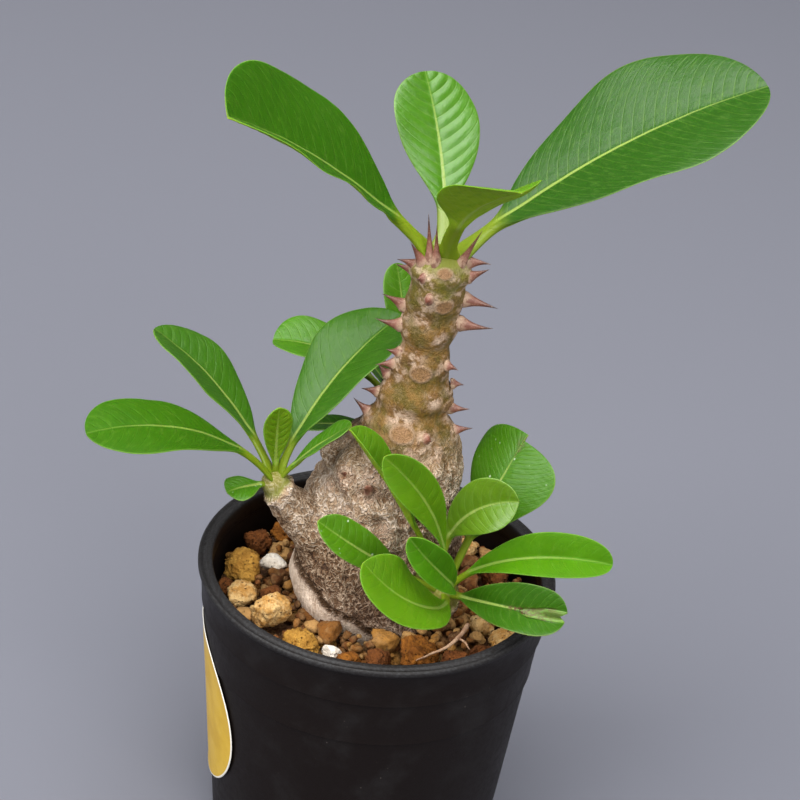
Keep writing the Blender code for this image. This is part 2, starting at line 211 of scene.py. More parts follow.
@dataclass
class Shell:
    """Points, quads and triangles of one mesh, with named values at its points."""

    points: Array
    quads: Array
    tris: Array = field(default_factory=lambda: np.zeros((0, 3), dtype=int))
    values: dict[str, Array] = field(default_factory=dict)

    @staticmethod
    def from_rings(rings: Array, values: dict[str, Array] | None = None) -> "Shell":
        """A closed surface through rings of points, with a fan to the middle of each end ring.

        Args:
            rings: positions shaped (rows, sides, 3).
            values: numbers or vectors shaped like the rings, to store at the points.

        Returns:
            The shell, with two more points for the ends.
        """
        rows, sides, _ = rings.shape
        ends = np.stack([rings[0].mean(axis=0), rings[-1].mean(axis=0)])
        points = np.vstack([rings.reshape(-1, 3), ends])
        side = np.arange(sides)
        after = (side + 1) % sides
        start = np.stack([np.full(sides, rows * sides), after, side], axis=-1)
        last = (rows - 1) * sides
        stop = np.stack([np.full(sides, rows * sides + 1), last + side, last + after], axis=-1)
        stored = {}
        for name, value in (values or {}).items():
            flat = value.reshape(rows * sides, -1)
            caps = np.stack([value[0].reshape(sides, -1).mean(0), value[-1].reshape(sides, -1).mean(0)])
            stored[name] = np.vstack([flat, caps])
        return Shell(points, ring_quads(rows, sides), np.vstack([start, stop]), stored)

    @staticmethod
    def joined(shells: list["Shell"]) -> "Shell":
        """Several shells as one, each kept as its own closed surface.

        Args:
            shells: the shells, which all store the same values.

        Returns:
            One shell.
        """
        starts = np.cumsum([0] + [len(s.points) for s in shells[:-1]])
        names = shells[0].values
        return Shell(
            np.vstack([s.points for s in shells]),
            np.vstack([s.quads + k for s, k in zip(shells, starts)]),
            np.vstack([s.tris + k for s, k in zip(shells, starts)]),
            {name: np.vstack([s.values[name] for s in shells]) for name in names},
        )

    def volume(self) -> float:
        """Signed volume: a sixth of the sum of a · (b × c) over all triangles.

        Returns:
            Cubic millimetres, negative where the faces point inwards.
        """
        split = np.vstack([self.quads[:, [0, 1, 2]], self.quads[:, [0, 2, 3]], self.tris])
        a, b, c = (self.points[split[:, k]] for k in range(3))
        return float(np.einsum("ij,ij->i", a, np.cross(b, c)).sum() / 6)

    def to_object(self, name: str, material: Material) -> Piece:
        """The shell as a smooth-shaded object at the origin, with its faces outwards.

        Args:
            name: the piece's name.
            material: its finish.

        Returns:
            The new object.
        """
        quads, tris = self.quads, self.tris
        if self.volume() < 0:
            quads, tris = quads[:, ::-1], tris[:, ::-1]
        mesh = bpy.data.meshes.new(name)
        mesh.from_pydata((self.points * MM).tolist(), [], quads.tolist() + tris.tolist())
        store_values(mesh, self.values)
        mesh.shade_smooth()
        mesh.materials.append(material)
        return linked(name, mesh)


def place(piece: Piece, slot: str, *nodes: str) -> None:
    """Sets a finished piece on the frame in place of its CAD nodes.

    Args:
        piece: the object, already where it belongs.
        slot: a material slot's name; not used.
        nodes: the CAD nodes it stands for.
    """
    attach(piece, BODY)
    if nodes:
        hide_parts(*nodes)
    LOG.info("%s: %d faces", piece.name, len(piece.data.polygons))


# ---- Material graphs ----


class Graph:
    """The node tree of one material, with a short call for each kind of node that the finishes share."""

    def __init__(self, name: str) -> None:
        """Starts an empty tree that ends in a Principled shader.

        Args:
            name: the material's name.
        """
        self.material = bpy.data.materials.new(name)
        self.material.use_nodes = True
        self.tree = self.material.node_tree
        self.shader = self.tree.nodes["Principled BSDF"]

    def node(self, kind: str, settings: dict[str, object], inputs: dict[int | str, object]) -> bpy.types.Node:
        """Adds a node, sets its properties, and links or sets its inputs.

        Args:
            kind: the node's type.
            settings: properties by name.
            inputs: sockets or values by input.

        Returns:
            The node.
        """
        made = self.tree.nodes.new(kind)
        for key, value in settings.items():
            setattr(made, key, value)
        for key, value in inputs.items():
            self.put(made.inputs[key], value)
        return made

    def put(self, socket: Socket, value: object) -> None:
        """Links a socket to another, or sets its value.

        Args:
            socket: the input.
            value: another socket, a number, a vector or a colour.
        """
        if isinstance(value, Socket):
            self.tree.links.new(value, socket)
        elif isinstance(value, tuple) and len(value) == 3 and socket.type == "RGBA":
            socket.default_value = (*value, 1.0)
        else:
            socket.default_value = value

    def vector_step(self, operation: str, inputs: dict[int | str, object]) -> Socket:
        """One step of vector arithmetic."""
        return self.node("ShaderNodeVectorMath", {"operation": operation}, inputs).outputs[0]

    def millimetres(self, stretch: Triple = (1.0, 1.0, 1.0)) -> Socket:
        """Object coordinates in millimetres, each axis multiplied by its stretch."""
        here = self.node("ShaderNodeTexCoord", {}, {}).outputs["Object"]
        return self.vector_step("MULTIPLY", {0: here, 1: tuple(s / MM for s in stretch)})

    def warped(self, vector: Socket, size: float, reach: float) -> Socket:
        """Coordinates pushed about by a colour noise.

        Args:
            vector: the coordinates.
            size: the size of the noise's features.
            reach: how far it may push.

        Returns:
            The pushed coordinates.
        """
        push = self.node("ShaderNodeTexNoise", {}, {"Vector": vector, "Scale": 1 / size, "Detail": 2.0})
        centred = self.vector_step("SUBTRACT", {0: push.outputs["Color"], 1: (0.5, 0.5, 0.5)})
        scaled = self.vector_step("SCALE", {0: centred, "Scale": reach})
        return self.vector_step("ADD", {0: vector, 1: scaled})

    def noise(self, vector: Socket, size: float, detail: float = 3.0, roughness: float = 0.5) -> Socket:
        """Fractal noise from 0 to 1 with features of about a size."""
        inputs = {"Vector": vector, "Scale": 1 / size, "Detail": detail, "Roughness": roughness}
        return self.node("ShaderNodeTexNoise", {}, inputs).outputs["Fac"]

    def cells(self, vector: Socket, size: float, feature: str = "F1") -> Socket:
        """Distance to the nearest cell point, or to the nearest cell edge."""
        made = self.node("ShaderNodeTexVoronoi", {"feature": feature}, {"Vector": vector, "Scale": 1 / size})
        return made.outputs["Distance"]

    def calc(self, operation: str, a: object, b: object = 0.0, c: object = 0.0) -> Socket:
        """One arithmetic step.

        Args:
            operation: the Math node's operation.
            a: first number.
            b: second number.
            c: third number, for the operations that take one.

        Returns:
            The result.
        """
        inputs = {0: a, 1: b}
        if operation in ("MULTIPLY_ADD", "SMOOTH_MIN", "SMOOTH_MAX"):
            inputs[2] = c
        return self.node("ShaderNodeMath", {"operation": operation}, inputs).outputs[0]

    def ease(self, value: object, low: float, high: float, start: float = 0.0, stop: float = 1.0) -> Socket:
        """Maps low..high to start..stop with a smooth step, clamped at both ends."""
        inputs = {"Value": value, "From Min": low, "From Max": high, "To Min": start, "To Max": stop}
        return self.node("ShaderNodeMapRange", {"interpolation_type": "SMOOTHSTEP"}, inputs).outputs["Result"]

    def mix(self, factor: object, a: object, b: object, blend: str = "MIX") -> Socket:
        """Blends two colours."""
        made = self.node("ShaderNodeMix", {"data_type": "RGBA", "blend_type": blend}, {0: factor, 6: a, 7: b})
        return made.outputs[2]

    def ramp(self, value: Socket, stops: list[tuple[float, Colour]]) -> Socket:
        """A colour ramp.

        Args:
            value: the place on the ramp.
            stops: places from 0 to 1, each with its colour.

        Returns:
            The colour.
        """
        made = self.node("ShaderNodeValToRGB", {}, {"Fac": value})
        marks = made.color_ramp.elements
        while len(marks) < len(stops):
            marks.new(0.5)
        for mark, (position, colour) in zip(marks, stops):
            mark.position = position
            mark.color = (*colour, 1.0)
        return made.outputs["Color"]

    def join(self, x: object, y: object, z: object) -> Socket:
        """Three numbers as one vector."""
        return self.node("ShaderNodeCombineXYZ", {}, {0: x, 1: y, 2: z}).outputs[0]

    def read(self, name: str) -> tuple[Socket, Socket, Socket]:
        """The three numbers of a vector that the mesh stores at its points.

        Args:
            name: the stored vector's name.

        Returns:
            Its x, y and z.
        """
        stored = self.node("ShaderNodeAttribute", {"attribute_name": name}, {})
        split = self.node("ShaderNodeSeparateXYZ", {}, {0: stored.outputs["Vector"]})
        return split.outputs[0], split.outputs[1], split.outputs[2]

    def read_one(self, name: str) -> Socket:
        """A single number that the mesh stores at its points."""
        return self.node("ShaderNodeAttribute", {"attribute_name": name}, {}).outputs["Fac"]

    def bump(
        self, height: Socket, depth: float, strength: float = 1.0, under: Socket | None = None
    ) -> Socket:
        """A bumped normal from a height.

        Args:
            height: the height, from 0 to 1.
            depth: millimetres that its full range stands for.
            strength: how much of the bump to use.
            under: a normal to add it to, if any.

        Returns:
            The normal.
        """
        inputs = {"Height": height, "Distance": depth * MM, "Strength": strength}
        if under is not None:
            inputs["Normal"] = under
        return self.node("ShaderNodeBump", {}, inputs).outputs["Normal"]

    def finish(
        self, colour: object, roughness: object, normal: Socket | None, **constants: object
    ) -> Material:
        """Joins the tree to the shader.

        Args:
            colour: base colour.
            roughness: roughness.
            normal: the bumped normal, if any.
            constants: other shader inputs by name, with underscores for spaces.

        Returns:
            The material.
        """
        self.put(self.shader.inputs["Base Color"], colour)
        self.put(self.shader.inputs["Roughness"], roughness)
        if normal is not None:
            self.put(self.shader.inputs["Normal"], normal)
        for key, value in constants.items():
            self.put(self.shader.inputs[key.replace("_", " ")], value)
        return self.material


# ---- Finishes ----


class Gloss(Enum):
    """How much a leaf shines."""

    GLOSSY = "glossy"
    SATIN = "satin"
    MATT = "matt"


@dataclass(frozen=True)
class LeafFinish:
    """Leaf skin: dark green between paler veins, cream midrib, yellow-green petiole, and a pale underside
    brightened further by a painted glow of light passing through.

    It reads three things stored on the mesh.  "leaf" is the distance from the midrib in millimetres, the
    share along the blade, and the side-vein phase, whose whole numbers are veins.  "look" is 1 on the
    underside, the leaf's age, and how scorched it is.  "extra" is the distance from the margin, how much
    the side veins show, and how dusty it is.
    """

    name: str = "leaf_green"
    young: Colour = (0.084, 0.152, 0.004)
    mature: Colour = (0.040, 0.130, 0.0015)
    old: Colour = (0.012, 0.052, 0.0010)
    vein: Colour = (0.100, 0.190, 0.020)
    midrib: Colour = (0.180, 0.245, 0.050)
    petiole: Colour = (0.105, 0.150, 0.006)
    # Underside: partly its own pale green, partly a painted glow of light passing through the leaf.
    underside: Colour = (0.150, 0.235, 0.010)
    margin: Colour = (0.110, 0.190, 0.030)
    scorched: Colour = (0.060, 0.026, 0.010)
    dust: Colour = (0.420, 0.500, 0.380)
    shine: float = 0.25
    smoothest: float = 0.34
    glow: float = 0.14
    rib_tone: float = 0.85

    def make(self) -> Material:
        """Builds the material.

        Returns:
            The material.
        """
        g = Graph(self.name)
        place_mm = g.millimetres()
        away, share, phase = g.read("leaf")
        under, age, scorch = g.read("look")
        edge, veined, dusty = g.read("extra")
        across = g.calc("ABSOLUTE", away)

        blade = g.ramp(age, [(0.0, self.young), (0.5, self.mature), (1.0, self.old)])
        clouds = g.noise(place_mm, 9.0, 3.0)
        blade = g.mix(g.ease(clouds, 0.35, 0.7, 0.0, 0.22), blade, self.old)
        streak_at = g.join(g.calc("MULTIPLY", phase, 2.6), g.calc("MULTIPLY", across, 0.42), age)
        streaks = g.noise(streak_at, 1.0, 3.0, 0.6)
        blade = g.mix(g.ease(streaks, 0.50, 0.80, 0.0, 0.20), blade, self.vein)

        near_vein = g.calc("ABSOLUTE", g.calc("SUBTRACT", g.calc("FRACT", phase), 0.5))
        vein_line = g.ease(near_vein, 0.41, 0.5)
        vein_tone = g.calc("MULTIPLY", g.ease(across, 0.2, 9.0, 0.60, 0.30), veined)
        blade = g.mix(g.calc("MULTIPLY", vein_line, vein_tone), blade, self.vein)

        rib_width = g.calc("MULTIPLY_ADD", share, -0.42, 0.58)
        rib = g.ease(g.calc("DIVIDE", across, rib_width), 0.35, 1.05, 1.0, 0.0)
        rib_fade = g.ease(share, 0.45, 1.0, self.rib_tone, 0.3 * self.rib_tone)
        top = g.mix(g.calc("MULTIPLY", rib, rib_fade), blade, self.midrib)
        stalk = g.ease(share, 0.0, 0.10, 1.0, 0.0)
        top = g.mix(stalk, top, self.petiole)
        rim_light = g.ease(edge, 0.06, 0.34, 0.55, 0.0)
        top = g.mix(g.calc("MULTIPLY", rim_light, g.ease(share, 0.02, 0.2)), top, self.margin)
        specks = g.ease(g.cells(place_mm, 1.5), 0.10, 0.20, 0.8, 0.0)
        patches = g.ease(g.noise(place_mm, 5.0, 3.0), 0.50, 0.64)
        top = g.mix(g.calc("MULTIPLY", g.calc("MULTIPLY", specks, patches), dusty), top, self.dust)

        mottle = g.noise(place_mm, 1.6, 4.0, 0.6)
        # The underside colour carries a painted glow of light passing through the leaf.
        below = g.mix(g.ease(mottle, 0.4, 0.75, 0.0, 0.4), self.underside, blade)
        below = g.mix(g.calc("MULTIPLY", rib, 0.8), below, self.midrib)
        below = g.mix(g.calc("MULTIPLY", vein_line, 0.25), below, self.midrib)
        below = g.mix(g.calc("MULTIPLY", stalk, 0.8), below, self.petiole)
        colour = g.mix(g.ease(under, 0.4, 0.7), top, below)
        fleck = g.ease(g.noise(place_mm, 0.7, 2.0), 0.35, 0.6)
        colour = g.mix(g.calc("MULTIPLY", scorch, fleck), colour, self.scorched)

        gloss = g.ease(streaks, 0.3, 0.75, self.smoothest, self.smoothest + 0.14)
        roughness = g.calc("ADD", gloss, g.calc("MULTIPLY", under, 0.2))
        normal = g.bump(streaks, 0.10, 0.8)
        normal = g.bump(g.calc("SUBTRACT", 1.0, vein_line), 0.05, 0.6, normal)
        normal = g.bump(g.noise(place_mm, 1.1, 3.0), 0.10, 0.8, normal)
        return g.finish(
            colour,
            roughness,
            normal,
            Subsurface_Weight=self.glow,
            Subsurface_Radius=(0.50, 1.1, 0.12),
            Subsurface_Scale=MM,
            Specular_IOR_Level=self.shine,
        )


LEAF_FINISHES = {
    Gloss.GLOSSY: LeafFinish("leaf_green_glossy", shine=0.42, smoothest=0.34),
    Gloss.SATIN: LeafFinish(),
    Gloss.MATT: LeafFinish("leaf_green_matt", shine=0.07, smoothest=0.46, glow=0.50, rib_tone=0.55),
}


@dataclass(frozen=True)
class BarkFinish:
    """Bark of the swollen stem: woven cream fibres on brown low down, olive skin with wax near the top, with
    painted shade in the low places of its relief and painted light on its high ones.

    It reads three things stored on the mesh.  "marks" is wax, smooth skin and crack; "scars" is the disc of
    a leaf scar, its rim, and green growth; "ridge" is how high the surface stands in its fine relief.
    """

    name: str = "stem_bark"
    # Darkest brown: painted shade in the grooves and hollows of the relief.
    hollow_shade: Colour = (0.034, 0.015, 0.007)
    brown: Colour = (0.110, 0.062, 0.036)
    silver: Colour = (0.210, 0.150, 0.115)
    fibre: Colour = (0.320, 0.230, 0.165)
    pale: Colour = (0.560, 0.450, 0.360)
    russet: Colour = (0.135, 0.064, 0.024)
    sand: Colour = (0.250, 0.160, 0.088)
    cream: Colour = (0.400, 0.285, 0.180)
    crack: Colour = (0.050, 0.022, 0.006)
    olive: Colour = (0.078, 0.054, 0.004)
    tan: Colour = (0.150, 0.080, 0.014)
    green: Colour = (0.118, 0.135, 0.010)
    thread: Colour = (0.280, 0.185, 0.060)
    wax: Colour = (0.480, 0.350, 0.255)
    pink: Colour = (0.170, 0.070, 0.042)
    scar: Colour = (0.215, 0.118, 0.055)
    rim: Colour = (0.290, 0.190, 0.120)

    def make(self) -> Material:
        """Builds the material.

        Returns:
            The material.
        """
        g = Graph(self.name)
        place_mm = g.millimetres()
        wax, smooth, crack = g.read("marks")
        scar, rim, green = g.read("scars")
        ridge = g.read_one("ridge")
        height = g.node("ShaderNodeSeparateXYZ", {}, {0: place_mm}).outputs[2]
        upper = g.ease(height, 90.0, 102.0)
        clouds = g.noise(place_mm, 6.0, 4.0, 0.6)

        woven_at = g.warped(g.millimetres((1.0, 1.0, 0.75)), 2.2, 2.6)
        woven = g.noise(woven_at, 1.05, 1.5, 0.5)
        fibres = g.ease(g.calc("ABSOLUTE", g.calc("SUBTRACT", woven, 0.5)), 0.01, 0.10, 1.0, 0.0)
        threads = g.noise(g.warped(g.millimetres((1.0, 1.0, 0.8)), 1.2, 1.2), 0.42, 2.0)
        fibres = g.calc("MULTIPLY_ADD", g.ease(threads, 0.40, 0.62), 0.34, g.calc("MULTIPLY", fibres, 0.66))
        # The ridge term darkens the relief's low places and lightens its high ones: painted shade and painted
        # light.
        level = g.calc("MULTIPLY_ADD", ridge, 0.36, g.calc("MULTIPLY", fibres, 0.58))
        level = g.calc("ADD", level, g.ease(clouds, 0.30, 0.70, -0.18, 0.12))
        level = g.calc("ADD", level, g.ease(height, 64.0, 86.0, -0.06, 0.20))
        stops = [(0.06, self.hollow_shade), (0.30, self.brown), (0.55, self.silver), (0.74, self.fibre)]
        caudex = g.ramp(level, [*stops, (1.0, self.pale)])
        warm = [(0.06, self.hollow_shade), (0.28, self.russet), (0.50, self.sand), (0.72, self.cream)]
        warmth = g.ease(height, 56.0, 76.0, 0.15, 0.75)
        caudex = g.mix(warmth, caudex, g.ramp(level, [*warm, (1.0, self.pale)]))

        striped_at = g.warped(g.millimetres((1.0, 1.0, 0.10)), 3.0, 0.5)
        stripes = g.noise(striped_at, 0.45, 3.0, 0.6)
        shades = [(0.0, self.brown), (0.14, self.silver), (0.32, self.fibre), (0.58, self.pale)]
        skin = g.ramp(stripes, shades)
        caudex = g.mix(g.calc("MULTIPLY", smooth, 0.90), caudex, skin)

        blotch = g.noise(place_mm, 3.0, 4.0, 0.6)
        trunk = g.mix(g.ease(blotch, 0.40, 0.62), self.olive, self.tan)
        scratches = g.noise(g.warped(g.millimetres((1.0, 1.0, 0.7)), 1.2, 1.4), 0.42, 3.0)
        lines = g.ease(g.calc("ABSOLUTE", g.calc("SUBTRACT", scratches, 0.5)), 0.0, 0.05, 0.36, 0.0)
        trunk = g.mix(g.calc("MULTIPLY", lines, g.ease(ridge, 0.2, 0.8, 0.3, 1.0)), trunk, self.thread)
        # Painted shade: the trunk darkens where its relief is low.
        trunk = g.mix(g.ease(ridge, 0.18, 0.42, 0.40, 0.0), trunk, self.hollow_shade)
        trunk = g.mix(g.ease(height, 124.0, 139.0, 0.0, 0.75), trunk, self.green)
        colour = g.mix(upper, caudex, trunk)

        waxed = g.calc("MULTIPLY", wax, g.ease(g.noise(place_mm, 1.9, 4.0, 0.6), 0.42, 0.60, 0.0, 0.95))
        colour = g.mix(g.ease(wax, 0.15, 0.6, 0.0, 0.30), colour, self.pink)
        colour = g.mix(waxed, colour, self.wax)
        flaked = g.calc("MULTIPLY", crack, g.ease(g.noise(place_mm, 1.1, 3.0), 0.34, 0.5))
        colour = g.mix(flaked, colour, self.crack)
        colour = g.mix(g.calc("MULTIPLY", green, g.ease(clouds, 0.3, 0.6, 0.70, 1.0)), colour, self.green)
        discs = g.mix(g.ease(blotch, 0.4, 0.65, 0.0, 0.35), self.scar, self.tan)
        colour = g.mix(scar, colour, discs)
        colour = g.mix(rim, colour, self.rim)

        rough = g.ease(upper, 0.0, 1.0, 0.80, 0.55)
        coarse = g.calc("SUBTRACT", 1.0, g.calc("MULTIPLY", upper, 0.75))
        coarse = g.calc("MULTIPLY", coarse, g.calc("SUBTRACT", 1.0, g.calc("MULTIPLY", smooth, 0.8)))
        relief = g.calc("MULTIPLY", fibres, coarse)
        relief = g.calc("MULTIPLY_ADD", stripes, g.calc("MULTIPLY", smooth, 0.5), relief)
        relief = g.calc("MULTIPLY_ADD", lines, g.calc("MULTIPLY", upper, 0.30), relief)
        relief = g.calc("MULTIPLY", relief, g.calc("SUBTRACT", 1.0, green))
        return g.finish(colour, rough, g.bump(relief, 0.60, 1.0), Specular_IOR_Level=0.26)


@dataclass(frozen=True)
class SpineFinish:
    """Horny spine: waxy pinkish base, red-brown shaft and near-black point, by the share along it."""

    name: str = "spine_horn"
    base: Colour = (0.300, 0.200, 0.130)
    pink: Colour = (0.165, 0.062, 0.040)
    shaft: Colour = (0.100, 0.027, 0.014)
    point: Colour = (0.030, 0.012, 0.010)

    def make(self) -> Material:
        """Builds the material.

        Returns:
            The material.
        """
        g = Graph(self.name)
        along = g.read_one("along")
        place_mm = g.millimetres()
        patchy = g.calc("MULTIPLY_ADD", g.noise(place_mm, 0.8, 3.0), 0.24, g.calc("SUBTRACT", along, 0.12))
        stops = [(0.0, self.base), (0.22, self.pink), (0.50, self.shaft), (0.90, self.point)]
        colour = g.ramp(patchy, stops)
        streaks = g.noise(place_mm, 0.25, 2.0)
        colour = g.mix(g.ease(streaks, 0.46, 0.72, 0.0, 0.4), colour, self.base)
        blush = g.noise(g.warped(place_mm, 1.0, 0.8), 1.3, 3.0, 0.6)
        colour = g.mix(g.ease(blush, 0.50, 0.62, 0.0, 0.75), colour, self.shaft)
        return g.finish(colour, g.ease(along, 0.0, 0.7, 0.62, 0.34), g.bump(streaks, 0.05, 0.6))


@dataclass(frozen=True)
class StoneFinish:
    """Porous gravel: a main and a second colour in patches, pits and low spots darkened as painted shade, and
    pale grains.
    """

    name: str
    main: Colour
    second: Colour
    # Darkest colour: painted shade in the pores and low spots.
    pit_shade: Colour
    grain: Colour
    speckle: float = 0.35

    def make(self) -> Material:
        """Builds the material.

        Returns:
            The material.
        """
        g = Graph(self.name)
        place_mm = g.millimetres()
        patches = g.noise(place_mm, 2.6, 4.0, 0.62)
        colour = g.mix(g.ease(patches, 0.36, 0.64), self.main, self.second)
        grit = g.noise(place_mm, 0.55, 4.0, 0.7)
        colour = g.mix(g.ease(grit, 0.55, 0.75, 0.0, self.speckle), colour, self.grain)
        pores = g.cells(g.warped(place_mm, 1.2, 0.6), 0.95)
        hole = g.ease(pores, 0.10, 0.30, 1.0, 0.0)
        open_here = g.ease(g.noise(place_mm, 1.9, 2.0), 0.45, 0.60)
        hole = g.calc("MULTIPLY", hole, open_here)
        # Painted shade: dark in the pores and in the low spots of the grit.
        colour = g.mix(g.calc("MULTIPLY", hole, 0.85), colour, self.pit_shade)
        colour = g.mix(g.ease(grit, 0.30, 0.44, 0.55, 0.0), colour, self.pit_shade)
        relief = g.calc("MULTIPLY_ADD", grit, 0.75, g.calc("MULTIPLY", patches, 0.5))
        relief = g.calc("SUBTRACT", relief, hole)
        roughness = g.ease(grit, 0.3, 0.7, 0.86, 0.97)
        return g.finish(colour, roughness, g.bump(relief, 0.42, 0.9), Specular_IOR_Level=0.2)


@dataclass(frozen=True)
class BedFinish:
    """Small gravel and packed mix: each grain takes the tint stored on it, broken by painted shade in its low
    spots and by dust.
    """

    name: str = "gravel_bed"
    # Painted shade in the low spots of the grains.
    pit_shade: Colour = (0.035, 0.018, 0.009)
    dust: Colour = (0.250, 0.145, 0.060)

    def make(self) -> Material:
        """Builds the material.

        Returns:
            The material.
        """
        g = Graph(self.name)
        place_mm = g.millimetres()
        tint = g.node("ShaderNodeAttribute", {"attribute_name": "tint"}, {}).outputs["Color"]
        grit = g.noise(place_mm, 0.6, 4.0, 0.7)
        patches = g.noise(place_mm, 2.0, 3.0, 0.6)
        colour = g.mix(g.ease(patches, 0.42, 0.68, 0.0, 0.5), tint, self.dust)
        # Painted shade: darker where the grit is low.
        colour = g.mix(g.ease(grit, 0.32, 0.47, 0.7, 0.0), colour, self.pit_shade)
        colour = g.mix(g.ease(grit, 0.60, 0.78, 0.0, 0.35), colour, self.dust)
        relief = g.calc("MULTIPLY_ADD", grit, 0.8, g.calc("MULTIPLY", patches, 0.4))
        return g.finish(colour, 0.93, g.bump(relief, 0.40, 0.9), Specular_IOR_Level=0.2)


@dataclass(frozen=True)
class PlasticFinish:
    """Black moulded plastic: satin, with faint turning lines, scuffs and a painted sheen on the rim's top,
    and dust.
    """

    name: str = "black_plastic"
    body: Colour = (0.0046, 0.0028, 0.0024)
    worn: Colour = (0.022, 0.022, 0.023)
    dust: Colour = (0.120, 0.100, 0.085)
    rim_height: float = 64.4

    def make(self) -> Material:
        """Builds the material.

        Returns:
            The material.
        """
        g = Graph(self.name)
        place_mm = g.millimetres()
        height = g.node("ShaderNodeSeparateXYZ", {}, {0: place_mm}).outputs[2]
        at_rim = g.ease(height, self.rim_height, self.rim_height + 1.2)
        clouds = g.noise(place_mm, 11.0, 4.0, 0.6)
        grit = g.noise(place_mm, 0.5, 3.0, 0.65)
        scuffs = g.noise(g.warped(place_mm, 4.0, 3.0), 1.4, 4.0, 0.7)
        colour = g.mix(g.ease(clouds, 0.45, 0.75, 0.0, 0.25), self.body, self.worn)
        # The rim's top turns paler grey: partly scuffs, partly a painted sheen of the light above.
        rim_wear_and_sheen = g.calc("MULTIPLY", at_rim, g.ease(grit, 0.40, 0.66, 0.35, 1.0))
        colour = g.mix(rim_wear_and_sheen, colour, self.worn)
        specks = g.ease(g.cells(place_mm, 2.3), 0.045, 0.085, 0.8, 0.0)
        colour = g.mix(g.calc("MULTIPLY", specks, g.ease(clouds, 0.5, 0.7, 0.05, 0.6)), colour, self.dust)
        lines = g.noise(g.millimetres((0.02, 0.02, 1.0)), 0.42, 3.0)
        haze = g.ease(clouds, 0.3, 0.7, 0.0, 0.12)
        roughness = g.calc("MULTIPLY_ADD", haze, 1.0, g.ease(scuffs, 0.4, 0.7, 0.40, 0.48))
        relief = g.calc("MULTIPLY_ADD", grit, 0.6, g.calc("MULTIPLY", lines, 0.4))
        return g.finish(colour, roughness, g.bump(relief, 0.06, 0.7), Specular_IOR_Level=0.12)


@dataclass(frozen=True)
class LabelFinish:
    """Blank yellow sticker with a cut white edge: printed yellow inside, darkened by painted shade, and bare
    paper near the cut.
    """

    name: str = "label_yellow"
    # Painted shade: both yellows are darker than the printed yellow itself.
    shaded_ink: Colour = (0.480, 0.300, 0.010)
    deeper_shaded_ink: Colour = (0.370, 0.215, 0.006)
    paper: Colour = (0.640, 0.620, 0.560)
    worn: Colour = (0.350, 0.250, 0.120)

    def make(self) -> Material:
        """Builds the material.

        Returns:
            The material.
        """
        g = Graph(self.name)
        place_mm = g.millimetres()
        edge = g.read_one("edge")
        clouds = g.noise(place_mm, 6.0, 3.0)
        # Yellow with painted shade, in cloudy patches of deeper painted shade.
        colour = g.mix(g.ease(clouds, 0.4, 0.7, 0.0, 0.6), self.shaded_ink, self.deeper_shaded_ink)
        scuffs = g.ease(g.noise(g.warped(place_mm, 5.0, 3.0), 0.9, 4.0, 0.7), 0.62, 0.72, 0.0, 0.5)
        colour = g.mix(scuffs, colour, self.worn)
        colour = g.mix(g.ease(edge, 0.34, 0.48, 1.0, 0.0), colour, self.paper)
        fibres = g.noise(place_mm, 0.22, 3.0)
        roughness = g.ease(clouds, 0.3, 0.7, 0.34, 0.5)
        return g.finish(colour, roughness, g.bump(fibres, 0.02, 0.5), Coat_Weight=0.15)


@dataclass(frozen=True)
class TwigFinish:
    """Dry twig: pinkish tan with darker grain along it and pale worn skin."""

    name: str = "dry_twig"
    tan: Colour = (0.300, 0.165, 0.095)
    dark: Colour = (0.130, 0.062, 0.028)
    pale: Colour = (0.420, 0.270, 0.170)

    def make(self) -> Material:
        """Builds the material.

        Returns:
            The material.
        """
        g = Graph(self.name)
        place_mm = g.millimetres()
        grain = g.noise(place_mm, 0.5, 4.0, 0.7)
        blotch = g.noise(place_mm, 2.2, 3.0)
        colour = g.mix(g.ease(blotch, 0.4, 0.65), self.tan, self.pale)
        colour = g.mix(g.ease(grain, 0.34, 0.5, 0.8, 0.0), colour, self.dark)
        return g.finish(colour, 0.8, g.bump(grain, 0.16, 0.9))


@dataclass(frozen=True)
class FloorFinish:
    """Plain pale blue-grey studio paper."""

    name: str = "floor_paper"
    colour: Colour = (0.104, 0.107, 0.128)

    def make(self) -> Material:
        """Builds the material.

        Returns:
            The material.
        """
        g = Graph(self.name)
        tooth = g.noise(g.millimetres(), 3.0, 3.0)
        return g.finish(self.colour, 0.95, g.bump(tooth, 0.05, 0.3), Specular_IOR_Level=0.15)


# ---- Leaves ----


class Damage(Enum):
    """What has happened to a leaf."""

    WHOLE = "whole"
    NOTCHED = "notched at the tip"
    SPLIT = "split along the midrib"


@dataclass(frozen=True)
class Leaf:
    """One leaf: where it points, how it bends, the set of its blade, and what its surface is like.

    azimuth and rise are its direction at the base; droop and turn are how far these change by the tip.
    roll turns the blade about its midrib, fold lifts both halves, petiole is the stalk's share of the length.
    age runs from 0, young and bright, to 1, old and dark.  veins counts the side veins on each half, relief
    is how far the skin swells between them, and veined is how much they show.  A low tip makes the end of
    the blade broad, arch bends its margins down, wave ripples them, and dusty is its share of pale dust.
    """

    name: str
    azimuth: float
    rise: float
    droop: float
    turn: float
    length: float
    width: float
    roll: float
    fold: float
    petiole: float
    age: float = 0.5
    veins: float = 14.0
    relief: float = 0.10
    tip: float = 0.5
    arch: float = 0.10
    wave: float = 0.25
    veined: float = 0.35
    dusty: float = 0.0
    damage: Damage = Damage.WHOLE
    gloss: Gloss = Gloss.SATIN


